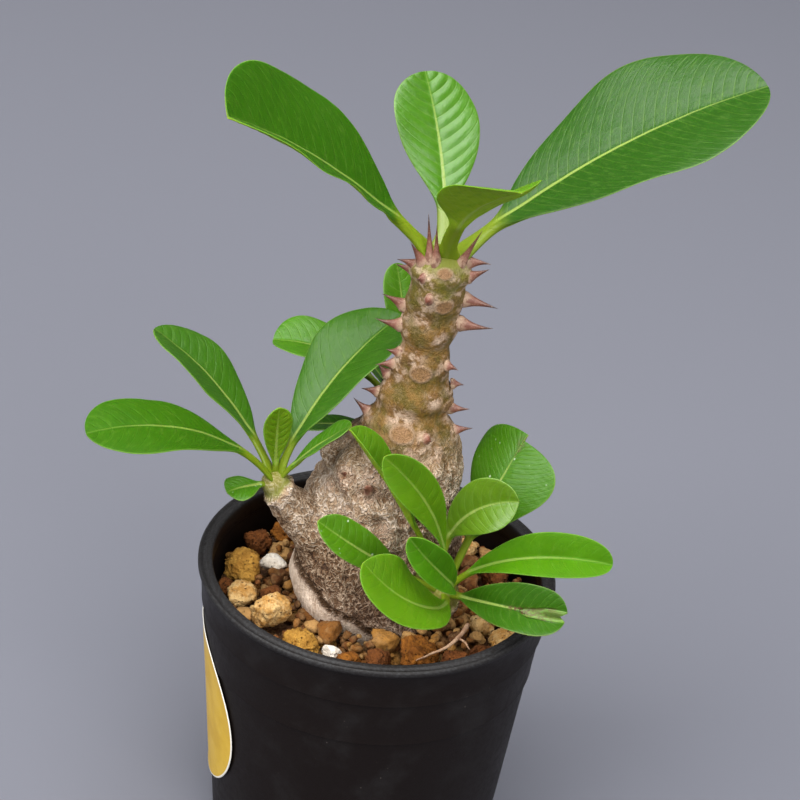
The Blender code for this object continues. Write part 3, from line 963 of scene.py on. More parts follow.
@dataclass
class Foliage:
    """Every leaf of one growing tip, each its own piece.

    The tip is a ball of a centre and a radius.  Each midrib starts inside the visible skin, by the length
    sunk.  A petiole has its full thickness and width on leaves wider than full_petiole_at, and base_flare
    widens its foot.
    """

    tip_name: str
    centre: Triple
    radius: float
    leaves: tuple[Leaf, ...]
    rows: int = 120
    inner_columns: int = 31
    blade_thickness: float = 0.55
    petiole_thickness: float = 1.25
    petiole_width: float = 1.7
    full_petiole_at: float = 12.0
    base_flare: float = 1.25
    sunk: float = 1.5
    base_power: float = 1.1

    def columns(self) -> Array:
        """Places across the blade, dense at the midrib and at both margins.

        Returns:
            Numbers from -1 to 1.
        """
        w = np.linspace(-1, 1, self.inner_columns)
        inner = 0.93 * (0.6 * w + 0.4 * w**3)
        return np.concatenate([[-1.0, -0.992, -0.965], inner, [0.965, 0.992, 1.0]])

    def half_width(self, leaf: Leaf, blade: Array, share: Array) -> Array:
        """Half the blade's width: blade share to a power times the rest to another, joined to the stalk's.

        Args:
            leaf: the leaf.
            blade: the share along the blade, 0 at its base.
            share: the share along the whole leaf.

        Returns:
            Half widths in millimetres.
        """
        widest = self.base_power / (self.base_power + leaf.tip)
        full = widest**self.base_power * (1 - widest) ** leaf.tip
        shape = leaf.width / 2 * blade**self.base_power * (1 - blade) ** leaf.tip / full
        stalk = self.petiole_width / 2 * min(1.0, leaf.width / self.full_petiole_at)
        flare = 1 + (self.base_flare - 1) * (1 - smoothstep(0.0, 0.12, share))
        stalk = stalk * flare * (1 - smoothstep(0.7, 1.0, share)) + 0.02
        return (shape**3 + stalk**3) ** (1 / 3)

    def midline(self, leaf: Leaf, count: int = 400) -> tuple[Array, Array, Array, Array]:
        """The midrib: its direction turns evenly from base to tip, and its points are the running sum.

        Args:
            leaf: the leaf.
            count: how many samples to take.

        Returns:
            Shares from 0 to 1, points, the blade's right-hand side and its upper side at each.
        """
        share = np.linspace(0, 1, count)
        along = direction(leaf.azimuth + leaf.turn * share, leaf.rise - leaf.droop * share)
        start = np.array(self.centre) + along[0] * (self.radius + GAP - self.sunk)
        steps = (along[1:] + along[:-1]) / 2 * (leaf.length + self.sunk) / (count - 1)
        points = start + np.vstack([np.zeros(3), np.cumsum(steps, axis=0)])
        turned = np.radians(leaf.azimuth + leaf.turn * share)
        right = np.stack([np.sin(turned), -np.cos(turned), np.zeros(count)], axis=-1)
        upper = np.cross(right, along)
        roll = math.radians(leaf.roll)
        right = right * math.cos(roll) + upper * math.sin(roll)
        return share, points, right, np.cross(right, along)

    def shell(self, leaf: Leaf, seed: int) -> Shell:
        """The leaf as one closed surface: rings round the blade's two faces, row by row.

        A point at share s and place v across lies at the midrib's point, plus v times the half width to
        the right, plus a lift: the fold's |v|, the arch's v squared, ripples towards the margin, pillows
        between side veins, and half the thickness up or down.

        Args:
            leaf: the leaf.
            seed: picks its small irregularities.

        Returns:
            The shell, with what its finish reads.
        """
        t = np.linspace(0, 1, self.rows)
        share = 1 - (1 - t) ** 1.7
        over = self.columns()
        v = np.concatenate([over, over[-2:0:-1]])[None, :]
        side = np.concatenate([np.ones(len(over)), -np.ones(len(over) - 2)])[None, :]
        side[0, 0] = side[0, len(over) - 1] = 0.0
        s = share[:, None] + 0 * v
        if leaf.damage is Damage.NOTCHED:
            s = s - (0.15 * np.exp(-np.abs(v) / 0.09) + 0.04 * smoothstep(0.0, 0.25, v)) * s**9
        elif leaf.damage is Damage.SPLIT:
            s = s - 0.34 * bell(v, 0.055) * s**4 - 0.05 * bell(v, 0.3) * s**6
        blade = np.clip((share - leaf.petiole) / (1 - leaf.petiole), 0, 1)
        half = self.half_width(leaf, blade, share)[:, None]
        noise_at = np.stack([share * 5, np.full(self.rows, seed * 3.1), np.zeros(self.rows)], axis=-1)
        picks = ((1.0, seed), (0.8, seed + 5))
        ragged = [lattice_noise(noise_at, size, pick)[:, None] for size, pick in picks]
        half = half * (1 + 0.022 * np.where(v < 0, *ragged))
        blade = blade[:, None]
        is_blade = smoothstep(0.0, 0.16, blade)

        away = np.abs(v) * half
        y = v * half
        fold = math.radians(leaf.fold)
        soft = np.sqrt(v**2 + 0.012) - 0.11
        lift = half * math.sin(fold) * soft * is_blade - leaf.arch * half * v**2 * is_blade
        ripple = np.sin(2 * math.pi * (2.4 * share[:, None] + 0.37 * seed) + np.where(v > 0, 1.4, 0.0))
        lift = lift + leaf.wave * ripple * v**2 * is_blade * (half / 6.0)

        blade_length = leaf.length * (1 - leaf.petiole)
        spacing = blade_length / leaf.veins
        phase = (blade * blade_length - 0.42 * away - 0.30 * away * v**2) / spacing
        pillow = np.abs(np.sin(math.pi * phase)) ** 0.7 - 0.5
        pillow = pillow * smoothstep(0.1, 1.6, away) * (1 - v**6) * is_blade
        lift = lift + leaf.relief * pillow
        grain_at = np.stack([y, blade * blade_length + 0 * v, 7.0 * seed + 0 * y], axis=-1)
        lift = lift + 0.07 * fractal_noise(grain_at, 4.0, seed + 9) * is_blade

        stalk = 1 - is_blade
        power = 2 + 12 * is_blade
        thick = self.blade_thickness + (self.petiole_thickness - self.blade_thickness) * stalk
        thick = thick * min(1.0, (leaf.width / self.full_petiole_at) ** 0.35)
        thick = thick * (1 - 0.35 * blade) * np.sqrt(np.clip(1 - np.abs(v) ** power, 0, 1))
        groove = 0.20 * bell(away, 0.85) * is_blade * (1 - 0.7 * blade)
        ridge = 0.12 * bell(away, 0.24) * is_blade * (1 - 0.6 * blade)
        keel = 0.62 * bell(away, 0.62) * is_blade * (1 - 0.85 * blade)
        lift = lift + side * thick / 2 + np.where(side > 0, ridge - groove, 0.0)
        lift = lift - np.where(side < 0, keel, 0.0)
        if leaf.damage is Damage.SPLIT:
            apart = smoothstep(0.58, 1.0, share[:, None])
            y = y + np.sign(v) * (0.45 * apart * (1 - np.abs(v)) + 1.1 * apart**2)
            lift = lift + np.where(v > 0, 0.9, -0.4) * apart**2

        at, points, right, upper = self.midline(leaf)
        rings = np.stack([np.interp(s, at, points[:, k]) for k in range(3)], axis=-1)
        to_right = np.stack([np.interp(s, at, right[:, k]) for k in range(3)], axis=-1)
        to_top = np.stack([np.interp(s, at, upper[:, k]) for k in range(3)], axis=-1)
        rings = rings + to_right * (y * math.cos(fold * 0.9))[..., None] + to_top * lift[..., None]
        scorch = np.zeros_like(y)
        if leaf.damage is Damage.SPLIT:
            scorch = bell(v, 0.09) * smoothstep(0.50, 0.66, share[:, None]) + bell(v - 1, 0.05) * 0.5
        elif leaf.damage is Damage.NOTCHED:
            scorch = 0.8 * bell(v, 0.16) * smoothstep(0.93, 0.99, share[:, None])
        whole = np.zeros_like(y)
        to_margin = (1 - np.abs(v)) * half
        values = {
            "leaf": np.stack([y, blade + whole, phase + whole], axis=-1),
            "look": np.stack([0.5 - 0.5 * side + whole, leaf.age + whole, np.clip(scorch, 0, 1)], axis=-1),
            "extra": np.stack([to_margin + whole, leaf.veined + whole, leaf.dusty + whole], axis=-1),
        }
        return Shell.from_rings(rings, values)

    def build(self, materials: dict[Gloss, Material]) -> None:
        """Builds every leaf and sets it in place of its CAD node.

        Args:
            materials: the leaf's finish for each gloss.
        """
        for number, leaf in enumerate(self.leaves):
            name = f"leaf_{self.tip_name}_{leaf.name}"
            seed = 7 * number + len(self.tip_name) * 3 + 1
            made = self.shell(leaf, seed).to_object(f"{name}_blade", materials[leaf.gloss])
            place(made, "leaf_green", name)


FOLIAGE = (
    Foliage(
        "crown",
        (6.0, 0.0, 135.0),
        5.0,
        (
            Leaf(
                "large_left", 189, 47, 23, 41, 54, 31, 23, 31, 0.16,
                age=0.92, veins=18, relief=0.06, veined=0.10, gloss=Gloss.MATT,
            ),
            Leaf(
                "upright", 94, 45, -6, 30, 35, 19, -5, 12, 0.20,
                age=0.56, veins=12, relief=0.34, veined=0.35, gloss=Gloss.GLOSSY,
            ),
            Leaf(
                "small_front", -85, 62, 36, 40, 34, 20, 7, 20, 0.30,
                age=0.30, veins=10, relief=0.06, veined=0.2, gloss=Gloss.MATT,
            ),
            Leaf(
                "large_right", 8, 49, 29, 4, 65, 34, -15, 18, 0.12,
                age=1.0, veins=26, relief=0.10, tip=0.60, veined=0.35,
            ),
        ),
        petiole_width=3.3,
        petiole_thickness=1.9,
        base_flare=1.7,
    ),
    Foliage(
        "left",
        (-22.5, -4.0, 85.0),
        2.9,
        (
            Leaf(
                "large_left", 210, 55, 64, -4, 43, 17, 9, 9, 0.20,
                age=0.82, relief=0.04, veined=0.05, gloss=Gloss.MATT,
            ),
            Leaf(
                "upper_left", 155, 60, 35, 13, 37, 17, -7, 20, 0.20,
                age=0.80, relief=0.08, tip=0.60, veined=0.08,
            ),
            Leaf(
                "young", 122, 81, -14, 0, 14, 6.4, 4, 12, 0.12,
                age=0.0, veins=9, relief=0.18, gloss=Gloss.MATT,
            ),
            Leaf(
                "upper_right", 40, 72, 52, 4, 41, 21, 5, 22, 0.15,
                age=0.82, relief=0.08, tip=0.56, veined=0.15,
            ),
            Leaf("small_right", -14, 58, 17, -4, 20, 7, -15, 18, 0.15, age=0.66, veins=11),
            Leaf("small_low", 216, 12, 20, 0, 8, 7, 14, 8, 0.15, age=0.60, veins=7, relief=0.06, dusty=0.6),
        ),
        petiole_width=2.3,
        base_flare=1.5,
    ),
    Foliage(
        "back",
        (3.0, 17.0, 88.0),
        2.7,
        (
            Leaf("upper_left", 169, 63, 72, 8, 34, 16, 5, 24, 0.35, age=0.50, veins=11),
            Leaf("upright", 109, 73, 18, 10, 33, 9, -10, 9, 0.35, age=0.44, veins=11),
            Leaf("dark", 128, 46, 30, 10, 18, 10, -25, 20, 0.30, age=0.80, veins=9),
            Leaf("low_left", 184, 8, 18, 0, 20, 7, 0, 12, 0.20, age=0.95, veins=10),
        ),
    ),
    Foliage(
        "front",
        (14.0, -10.8, 67.8),
        3.2,
        (
            Leaf("tall_left", 200, 68, 20, -29, 40, 10, 3, 40, 0.36, age=0.30, veins=13, gloss=Gloss.MATT),
            Leaf(
                "folded_left", 246, 82, 40, -56, 38, 9, 74, 24, 0.22,
                age=0.26, veins=13, relief=0.05, veined=0.05, gloss=Gloss.MATT,
            ),
            Leaf(
                "bright_right", -36, 106, 89, 16, 30, 12, -68, 28, 0.34,
                age=0.16, veins=10, veined=0.6, gloss=Gloss.GLOSSY,
            ),
            Leaf(
                "notched", 28, 73, 17, 14, 34, 22, -3, -3, 0.30,
                age=0.60, veins=20, tip=0.4, veined=0.6, dusty=0.8, damage=Damage.NOTCHED,
            ),
            Leaf(
                "dark_fold", 292, 40, -13, -110, 29, 8, 76, 30, 0.10,
                age=0.60, veins=9, veined=0.05, gloss=Gloss.MATT,
            ),
            Leaf(
                "long_right", -36, 59, 64, 33, 37, 11, -44, 38, 0.15,
                age=0.46, veins=13, relief=0.04, veined=0.05, gloss=Gloss.MATT,
            ),
            Leaf(
                "split_right", -52, 24, 16, 37, 27, 12, -48, 40, 0.10,
                age=0.86, veins=13, veined=0.25, damage=Damage.SPLIT,
            ),
            Leaf(
                "near", 278, 16, -34, -103, 35, 14, 33, 18, 0.10,
                age=0.30, veins=12, relief=0.04, veined=0.02, gloss=Gloss.MATT,
            ),
            Leaf(
                "oblong_left", 216, 34, -7, -18, 34, 9, 51, 28, 0.25,
                age=0.42, veins=13, dusty=0.9, veined=0.2,
            ),
        ),
        petiole_width=1.9,
    ),
)


# ---- Stem ----


@dataclass
class Stem:
    """The swollen stem, its three short shoots, and the spines, which grew as one piece.

    stations are height, centre x, centre y, half width along x and along y.  shoots are paths of x, y, z and
    radius.  spines are height, azimuth, length and tilt, and crown_spines x, y, z, azimuth, tilt and length.
    leaf_scars and wax_patches are height, azimuth and radius, and lumps height, azimuth, reach and width.
    The crack_line is azimuth and height, and waists are the heights where the trunk is drawn in.
    """

    stations: tuple[tuple[float, ...], ...] = (
        (27, 0.0, 2.0, 1.2, 1.2),
        (34, 0.0, 2.0, 4.0, 4.0),
        (42, -0.2, 2.0, 9.5, 9.0),
        (48, -0.3, 2.0, 14.0, 12.8),
        (53, -0.3, 2.0, 16.2, 14.8),
        (60, -0.4, 2.0, 17.4, 15.8),
        (69, -0.5, 2.0, 17.0, 15.4),
        (77, -0.4, 2.0, 16.2, 14.4),
        (82, -0.2, 2.0, 15.2, 13.6),
        (86, 0.6, 1.9, 13.6, 12.4),
        (91, 1.2, 1.8, 12.6, 11.4),
        (95, 2.6, 1.6, 10.9, 10.2),
        (99, 2.9, 1.4, 9.2, 8.8),
        (103, 2.8, 1.2, 7.4, 7.2),
        (107, 3.8, 1.1, 7.5, 7.3),
        (112, 4.2, 1.0, 5.7, 5.6),
        (117, 4.4, 0.8, 5.2, 5.1),
        (122, 4.7, 0.6, 5.7, 5.5),
        (127, 5.0, 0.4, 5.4, 5.4),
        (131, 5.2, 0.2, 5.5, 5.4),
        (135, 5.7, 0.0, 5.1, 5.1),
        (137.5, 6.0, 0.0, 4.3, 4.3),
        (139.2, 6.0, 0.0, 2.7, 2.7),
        (140, 6.0, 0.0, 0.9, 0.9),
    )
    shoots: tuple[tuple[tuple[float, ...], ...], ...] = (
        ((-8, -1, 68, 8.0), (-14, -2.5, 74.5, 5.4), (-18.5, -3.6, 79.5, 3.7), (-22.5, -4, 85, 2.9)),
        ((2, 7, 77, 6.0), (2.5, 13, 82, 3.8), (3, 17, 88, 2.7)),
        ((9, -4, 61, 6.0), (12.5, -8.2, 63, 4.2), (14.0, -10.8, 67.8, 3.2)),
    )
    spines: tuple[tuple[float, ...], ...] = (
        (137.4, -12, 4.2, 16), (134.6, -16, 4.1, 28), (129.4, -8, 6.0, -3), (124.2, -12, 6.0, -4),
        (110.0, -4, 1.9, 10), (104.8, -8, 3.4, 2), (99.5, -6, 3.6, 20), (137.0, -150, 4.4, 50),
        (135.6, 192, 3.8, 25), (134.0, 176, 3.0, 5), (126.4, 186, 4.6, 28), (122.6, 196, 4.8, 8),
        (113.6, -165, 3.4, 5), (110.4, 184, 2.8, 40), (106.6, 188, 3.0, 12), (101.6, 186, 3.6, 35),
        (95.4, 172, 3.0, 20), (130.8, -103, 2.4, 0), (134.6, -128, 1.8, 10), (116.7, -157, 2.4, 10),
        (115.4, -34, 2.4, 10), (100.6, -64, 2.2, 15), (90.5, -133, 2.8, 30), (89.2, -110, 2.4, 25),
    )  # fmt: skip
    back_spines_from: float = 92.0
    back_spines_to: float = 134.0
    back_spine_count: int = 12
    crown_spines: tuple[tuple[float, ...], ...] = (
        (3.2, -2.8, 138.0, 170, 82, 9.2), (9.2, -2.4, 138.0, -20, 66, 8.0), (4.4, -3.4, 138.2, -150, 84, 7.4),
    )  # fmt: skip
    spine_base: float = 1.15
    thickest_spine: float = 1.75
    spine_sides: int = 14
    leaf_scars: tuple[tuple[float, ...], ...] = (
        (136.2, -84, 1.5), (129.1, -68, 2.0), (113.9, -92, 2.3), (101.2, -97, 2.5), (119.5, 20, 2.0),
        (124.5, 110, 2.1), (109.0, 75, 2.2), (103.0, 140, 2.4), (131.5, 60, 1.7), (106.0, -20, 2.0),
    )  # fmt: skip
    crack_line: tuple[tuple[float, float], ...] = (
        (-180, 67.5), (-155, 66.0), (-130, 63.6), (-107, 59.6), (-87, 57.6), (-56, 54.5), (-20, 52.0),
        (120, 52.0), (150, 60.0), (180, 67.5),
    )  # fmt: skip
    lumps: tuple[tuple[float, float, float, float], ...] = (
        (89.9, 177, 2.1, 2.6), (91.9, -148, 1.8, 2.4), (84.5, 168, 1.4, 2.4), (84.0, -104, 1.5, 3.0),
        (88.3, -126, 1.3, 2.0), (80.0, -82, 1.3, 3.0), (93.5, -60, 1.4, 2.4), (85.0, -40, 1.3, 2.6),
        (76.0, -140, 1.1, 3.2), (90.0, 100, 1.4, 2.8), (84.0, 40, 1.4, 3.0), (88.5, -112, -1.3, 1.5),
        (85.5, -136, -1.0, 1.5), (82.5, -92, -1.0, 1.6), (91.0, -78, -1.1, 1.6), (95.5, 160, 1.1, 2.0),
    )  # fmt: skip
    waists: tuple[float, ...] = (104.2, 110.6, 118.6, 125.4, 132.2)
    wax_patches: tuple[tuple[float, float, float], ...] = (
        (117.0, -118, 2.3), (104.6, -115, 2.4), (104.0, -98, 2.2), (97.1, -51, 1.8), (81.8, -87, 1.7),
        (134.6, -122, 2.4), (109.6, -3, 1.5), (75.0, -100, 2.0), (86.0, -150, 1.6), (135.2, -66, 1.8),
        (113.0, -150, 2.6), (126.4, -112, 2.4), (121.4, -62, 1.8), (130.4, -34, 2.0), (108.2, -58, 2.0),
        (98.4, -78, 2.0), (91.6, -112, 2.0), (87.4, -60, 2.2), (83.0, -122, 1.8), (78.6, -150, 2.0),
    )  # fmt: skip
    voxel: float = 0.35
    sides: int = 128

    def section(self, height: Array) -> Array:
        """Centre and half widths at heights: the stations joined by lines, softened by a short Gaussian.

        Args:
            height: heights in millimetres.

        Returns:
            Rows of centre x, centre y, half width along x, half width along y.
        """
        table = np.array(self.stations)
        fine = np.arange(table[0, 0], table[-1, 0] + 0.1, 0.25)
        kernel = bell(np.arange(-12, 13) * 0.25, 1.1)
        kernel /= kernel.sum()
        columns = []
        for k in range(1, 5):
            line = np.interp(fine, table[:, 0], table[:, k])
            soft = np.convolve(np.pad(line, 12, mode="edge"), kernel, mode="valid")
            soft = np.where(fine > table[-1, 0] - 4, line, soft)
            columns.append(np.interp(height, fine, soft))
        return np.stack(columns, axis=-1)

    def foot(self, height: float, azimuth: float) -> Array:
        """The point on the trunk at a height, on the side that faces an azimuth.

        Args:
            height: height in millimetres.
            azimuth: azimuth in degrees.

        Returns:
            Its x, y and z.
        """
        cx, cy, half_x, half_y = self.section(np.array([height]))[0]
        a = math.radians(azimuth)
        return np.array([cx + half_x * math.cos(a), cy + half_y * math.sin(a), height])

    def all_spines(self) -> list[tuple[float, ...]]:
        """Every spine of the trunk: those placed one by one, then a spiral up the back.

        Returns:
            Height, azimuth, length and tilt of each.
        """
        made = list(self.spines)
        rise = (self.back_spines_to - self.back_spines_from) / (self.back_spine_count - 1)
        for k in range(self.back_spine_count):
            made.append((self.back_spines_from + rise * k, 52 + (k * 52) % 80, 3.0 + 0.5 * (k % 3), 12))
        return made

    def trunk_shell(self) -> Shell:
        """The trunk without detail: an ellipse at each height from the stations.

        Returns:
            The shell.
        """
        height = np.linspace(self.stations[0][0], self.stations[-1][0], 240)
        cx, cy, half_x, half_y = self.section(height).T
        turn = np.linspace(0, 2 * math.pi, self.sides, endpoint=False)
        x = cx[:, None] + half_x[:, None] * np.cos(turn)
        y = cy[:, None] + half_y[:, None] * np.sin(turn)
        z = height[:, None] + 0 * x
        return Shell.from_rings(np.stack([x, y, z], axis=-1))

    def tube_shell(self, path: Array, sides: int, dome: float) -> Shell:
        """A round tube along a path that carries a radius, ending in a half-round dome.

        Args:
            path: rows of x, y, z and radius.
            sides: points round the tube.
            dome: radius of the dome.

        Returns:
            The shell.
        """
        line = path_spline(path, 40)
        end = line[-1, :3] - line[-2, :3]
        end /= np.linalg.norm(end)
        angle = np.radians(np.linspace(8, 86, 10))
        cap = np.column_stack([line[-1, :3] + end * dome * np.sin(angle)[:, None], dome * np.cos(angle)])
        line = np.vstack([line, cap])
        across, other = frame_along(line[:, :3], (0.3, -1.0, 0.1))
        turn = np.linspace(0, 2 * math.pi, sides, endpoint=False)[None, :, None]
        radius = line[:, 3][:, None, None]
        rings = line[:, None, :3] + radius * (np.cos(turn) * across[:, None] + np.sin(turn) * other[:, None])
        return Shell.from_rings(rings)

    def grown(self, material: Material) -> Piece:
        """Trunk and shoots merged into one even skin, with softened joints.

        Args:
            material: the bark.

        Returns:
            The object, before its surface detail.
        """
        parts = [self.trunk_shell()]
        for path in self.shoots:
            parts.append(self.tube_shell(np.array(path), 48, path[-1][3]))
        rough = Shell.joined(parts).to_object("stem_rough", material)
        skin = rough.modifiers.new("skin", "REMESH")
        skin.mode = "VOXEL"
        skin.voxel_size = self.voxel * MM
        soften = rough.modifiers.new("soften", "SMOOTH")
        soften.factor = 0.6
        soften.iterations = 14
        mesh = bpy.data.meshes.new_from_object(rough.evaluated_get(bpy.context.evaluated_depsgraph_get()))
        bpy.data.objects.remove(rough, do_unlink=True)
        return linked("stem_body", mesh)

    def relief(self, points: Array) -> tuple[Array, dict[str, Array]]:
        """How far each point of the skin stands out, and the marks that the bark shows there.

        Broad noise makes lumps, and a finer stretched noise makes the woven ridges of the swollen part.
        Each spine stands on a low mound with wax round and below it; each leaf scar is a shallow dish
        with a raised rim; the crack is a groove at a height that changes with azimuth.

        Args:
            points: skin points in millimetres.

        Returns:
            Displacement along the normal, and the values that the bark reads, by name.
        """
        x, y, z = points.T
        cx, cy, half_x, half_y = self.section(z).T
        azimuth = np.degrees(np.arctan2((y - cy) / half_y, (x - cx) / half_x))
        swollen = 1 - smoothstep(92, 108, z)
        knobbly = bell(z - 86, 8.5)
        out = fractal_noise(points, 9.0, 3) * (0.70 * swollen + 0.14)
        shifted = points + 1.2 * lattice_noise(points, 3.0, 12)[:, None]
        folds = 1 - 2.2 * np.abs(lattice_noise(shifted, 3.8, 11))
        out += folds * 0.85 * knobbly
        twisted = points * np.array([1.0, 1.0, 0.8])
        twisted = twisted + 0.9 * np.stack([lattice_noise(points, 2.0, 5 + k) for k in range(3)], axis=-1)
        strands = 1 - 2.4 * np.abs(lattice_noise(twisted, 1.30, 21))
        strands = 0.6 * strands + 0.4 * (1 - 2.4 * np.abs(lattice_noise(twisted, 0.80, 23)))
        out += (0.19 * swollen + 0.045) * strands
        for height, side, reach, width in self.lumps:
            away = np.linalg.norm(points - self.foot(height, side), axis=1)
            out += reach * bell(away, width)
        waist = sum(bell(z - level, 1.5) for level in self.waists)
        out -= 0.45 * waist
        out -= 0.35 * smoothstep(98, 104, z) * (1 - smoothstep(129, 135, z))

        on_trunk = ((x - cx) / half_x) ** 2 + ((y - cy) / half_y) ** 2 < 1.5
        nearest = np.interp(azimuth, *np.array(self.crack_line).T)
        wander = 1.3 * lattice_noise(points, 5.0, 31) + 0.6 * lattice_noise(points, 1.5, 33)
        below = z - nearest - wander
        crack = bell(below - 0.4, 1.0) * on_trunk * swollen
        smooth = (1 - smoothstep(-1.6, -0.2, below)) * on_trunk
        out -= 0.42 * crack
        out += 0.30 * bell(below - 1.9, 0.7) * on_trunk * swollen
        out -= smooth * 0.15 * strands

        wax = 0.0 * z
        for height, side, length, _ in self.all_spines():
            foot = self.foot(height, side)
            near = np.linalg.norm((points - foot) * np.array([1.0, 1.0, 0.8]), axis=1)
            out += 0.80 * bell(near, 2.1) * min(1.0, length / 3.4)
            low = np.linalg.norm((points - foot + [0, 0, 0.8]) * np.array([1.0, 1.0, 0.85]), axis=1)
            wax = np.maximum(wax, bell(low, 2.3))
        for height, side, width in self.wax_patches:
            away = np.linalg.norm(points - self.foot(height, side), axis=1)
            wax = np.maximum(wax, bell(away, width))
        wax *= 0.55 + 0.45 * smoothstep(84, 96, z)

        scar, rim = 0.0 * z, 0.0 * z
        for height, side, radius in self.leaf_scars:
            centre = self.foot(height, side)
            away = np.linalg.norm((points - centre) * np.array([1.0, 1.0, 1.35]), axis=1) / radius
            disc = 1 - smoothstep(0.80, 0.98, away)
            out += disc * (0.24 - 0.16 * (1 - away**2)) + 0.18 * bell(away - 0.98, 0.15)
            out -= 0.09 * bell(away - 0.62, 0.12) + 0.12 * bell(away - 1.30, 0.14)
            scar = np.maximum(scar, disc)
            rim = np.maximum(rim, 0.8 * bell(away - 0.98, 0.12))

        green = smoothstep(134.0, 139.0, z)
        for path in self.shoots:
            end, before = np.array(path[-1][:3]), np.array(path[-2][:3])
            axis = (end - before) / np.linalg.norm(end - before)
            ahead = (points - end) @ axis
            beside = np.linalg.norm(points - end - ahead[:, None] * axis, axis=1)
            ragged = ahead + 0.6 * lattice_noise(points, 1.2, 71)
            near = (beside < 2.2 * path[-1][3]) * smoothstep(-1.6, -0.4, ragged)
            green = np.maximum(green, near)
            out += 0.35 * bell(ahead + 1.6, 0.5) * (beside < 2.2 * path[-1][3])
        out *= 1 - 0.92 * green
        marks = np.stack([np.clip(wax, 0, 1), smooth, np.clip(crack * 1.25, 0, 1)], axis=-1)
        scars = np.stack([scar, rim, 0.9 * green], axis=-1)
        ridge = np.clip(0.5 + 0.45 * strands + 0.44 * folds * knobbly, 0, 1)
        return out, {"marks": marks, "scars": scars, "ridge": ridge[:, None]}

    def build_body(self, material: Material) -> None:
        """The trunk and shoots with their surface detail, in place of the CAD stem.

        Args:
            material: the bark.
        """
        made = self.grown(material)
        mesh = made.data
        count = len(mesh.vertices)
        place_of, facing = np.zeros(count * 3), np.zeros(count * 3)
        mesh.vertices.foreach_get("co", place_of)
        mesh.vertices.foreach_get("normal", facing)
        points, facing = place_of.reshape(-1, 3) / MM, facing.reshape(-1, 3)
        out, values = self.relief(points)
        mesh.vertices.foreach_set("co", ((points + facing * out[:, None]) * MM).ravel())
        store_values(mesh, values)
        mesh.shade_smooth()
        mesh.update()
        place(made, "stem_bark", "stem")

    def spine_shell(self, foot: Array, way: Array, length: float, base: float, bend: float) -> Shell:
        """One spine: a cone whose radius falls as (1 - s) to a power, flared at the foot and gently bent.

        Args:
            foot: where it leaves the bark.
            way: its direction there.
            length: its length.
            base: radius at the foot.
            bend: how far its point droops, as a share of the length.

        Returns:
            The shell, with the share along it stored as "along".
        """
        share = np.linspace(-0.30, 1.0, 18)
        grown = np.clip(share, 0, 1)
        line = foot + way * (share * length)[:, None]
        line[:, 2] += bend * length * grown**2
        across = np.cross(way, [0.0, 0.0, 1.0])
        across /= np.linalg.norm(across)
        other = np.cross(way, across)
        radius = base * (0.62 * (1 - grown) + 0.38 * (1 - grown) ** 3.4) + 0.035
        turn = np.linspace(0, 2 * math.pi, self.spine_sides, endpoint=False)[None, :, None]
        ring = np.cos(turn) * across * 0.92 + np.sin(turn) * other * (1 + 0.25 * (1 - grown[:, None, None]))
        rings = line[:, None, :] + radius[:, None, None] * ring
        return Shell.from_rings(rings, {"along": np.repeat(grown[:, None, None], self.spine_sides, axis=1)})

    def build_spines(self, material: Material) -> None:
        """Every spine on the trunk, and the slender ones between the crown's leaves, as one piece.

        Args:
            material: the horn.
        """
        shells = []
        for number, (height, side, length, tilt) in enumerate(self.all_spines()):
            foot = self.foot(height, side)
            way = direction(side, tilt)
            bend = (-0.16, 0.10, -0.06, 0.14)[number % 4]
            base = min(self.spine_base * (0.64 + 0.09 * length), self.thickest_spine)
            shells.append(self.spine_shell(foot + way * 0.45, way, length * 1.06, base, bend))
        for x, y, z, side, tilt, length in self.crown_spines:
            way = direction(side, tilt)
            shells.append(self.spine_shell(np.array([x, y, z]), way, length, 0.85, 0.02))
        place(Shell.joined(shells).to_object("stem_spines", material), "stem_bark")


# ---- Pot and label ----


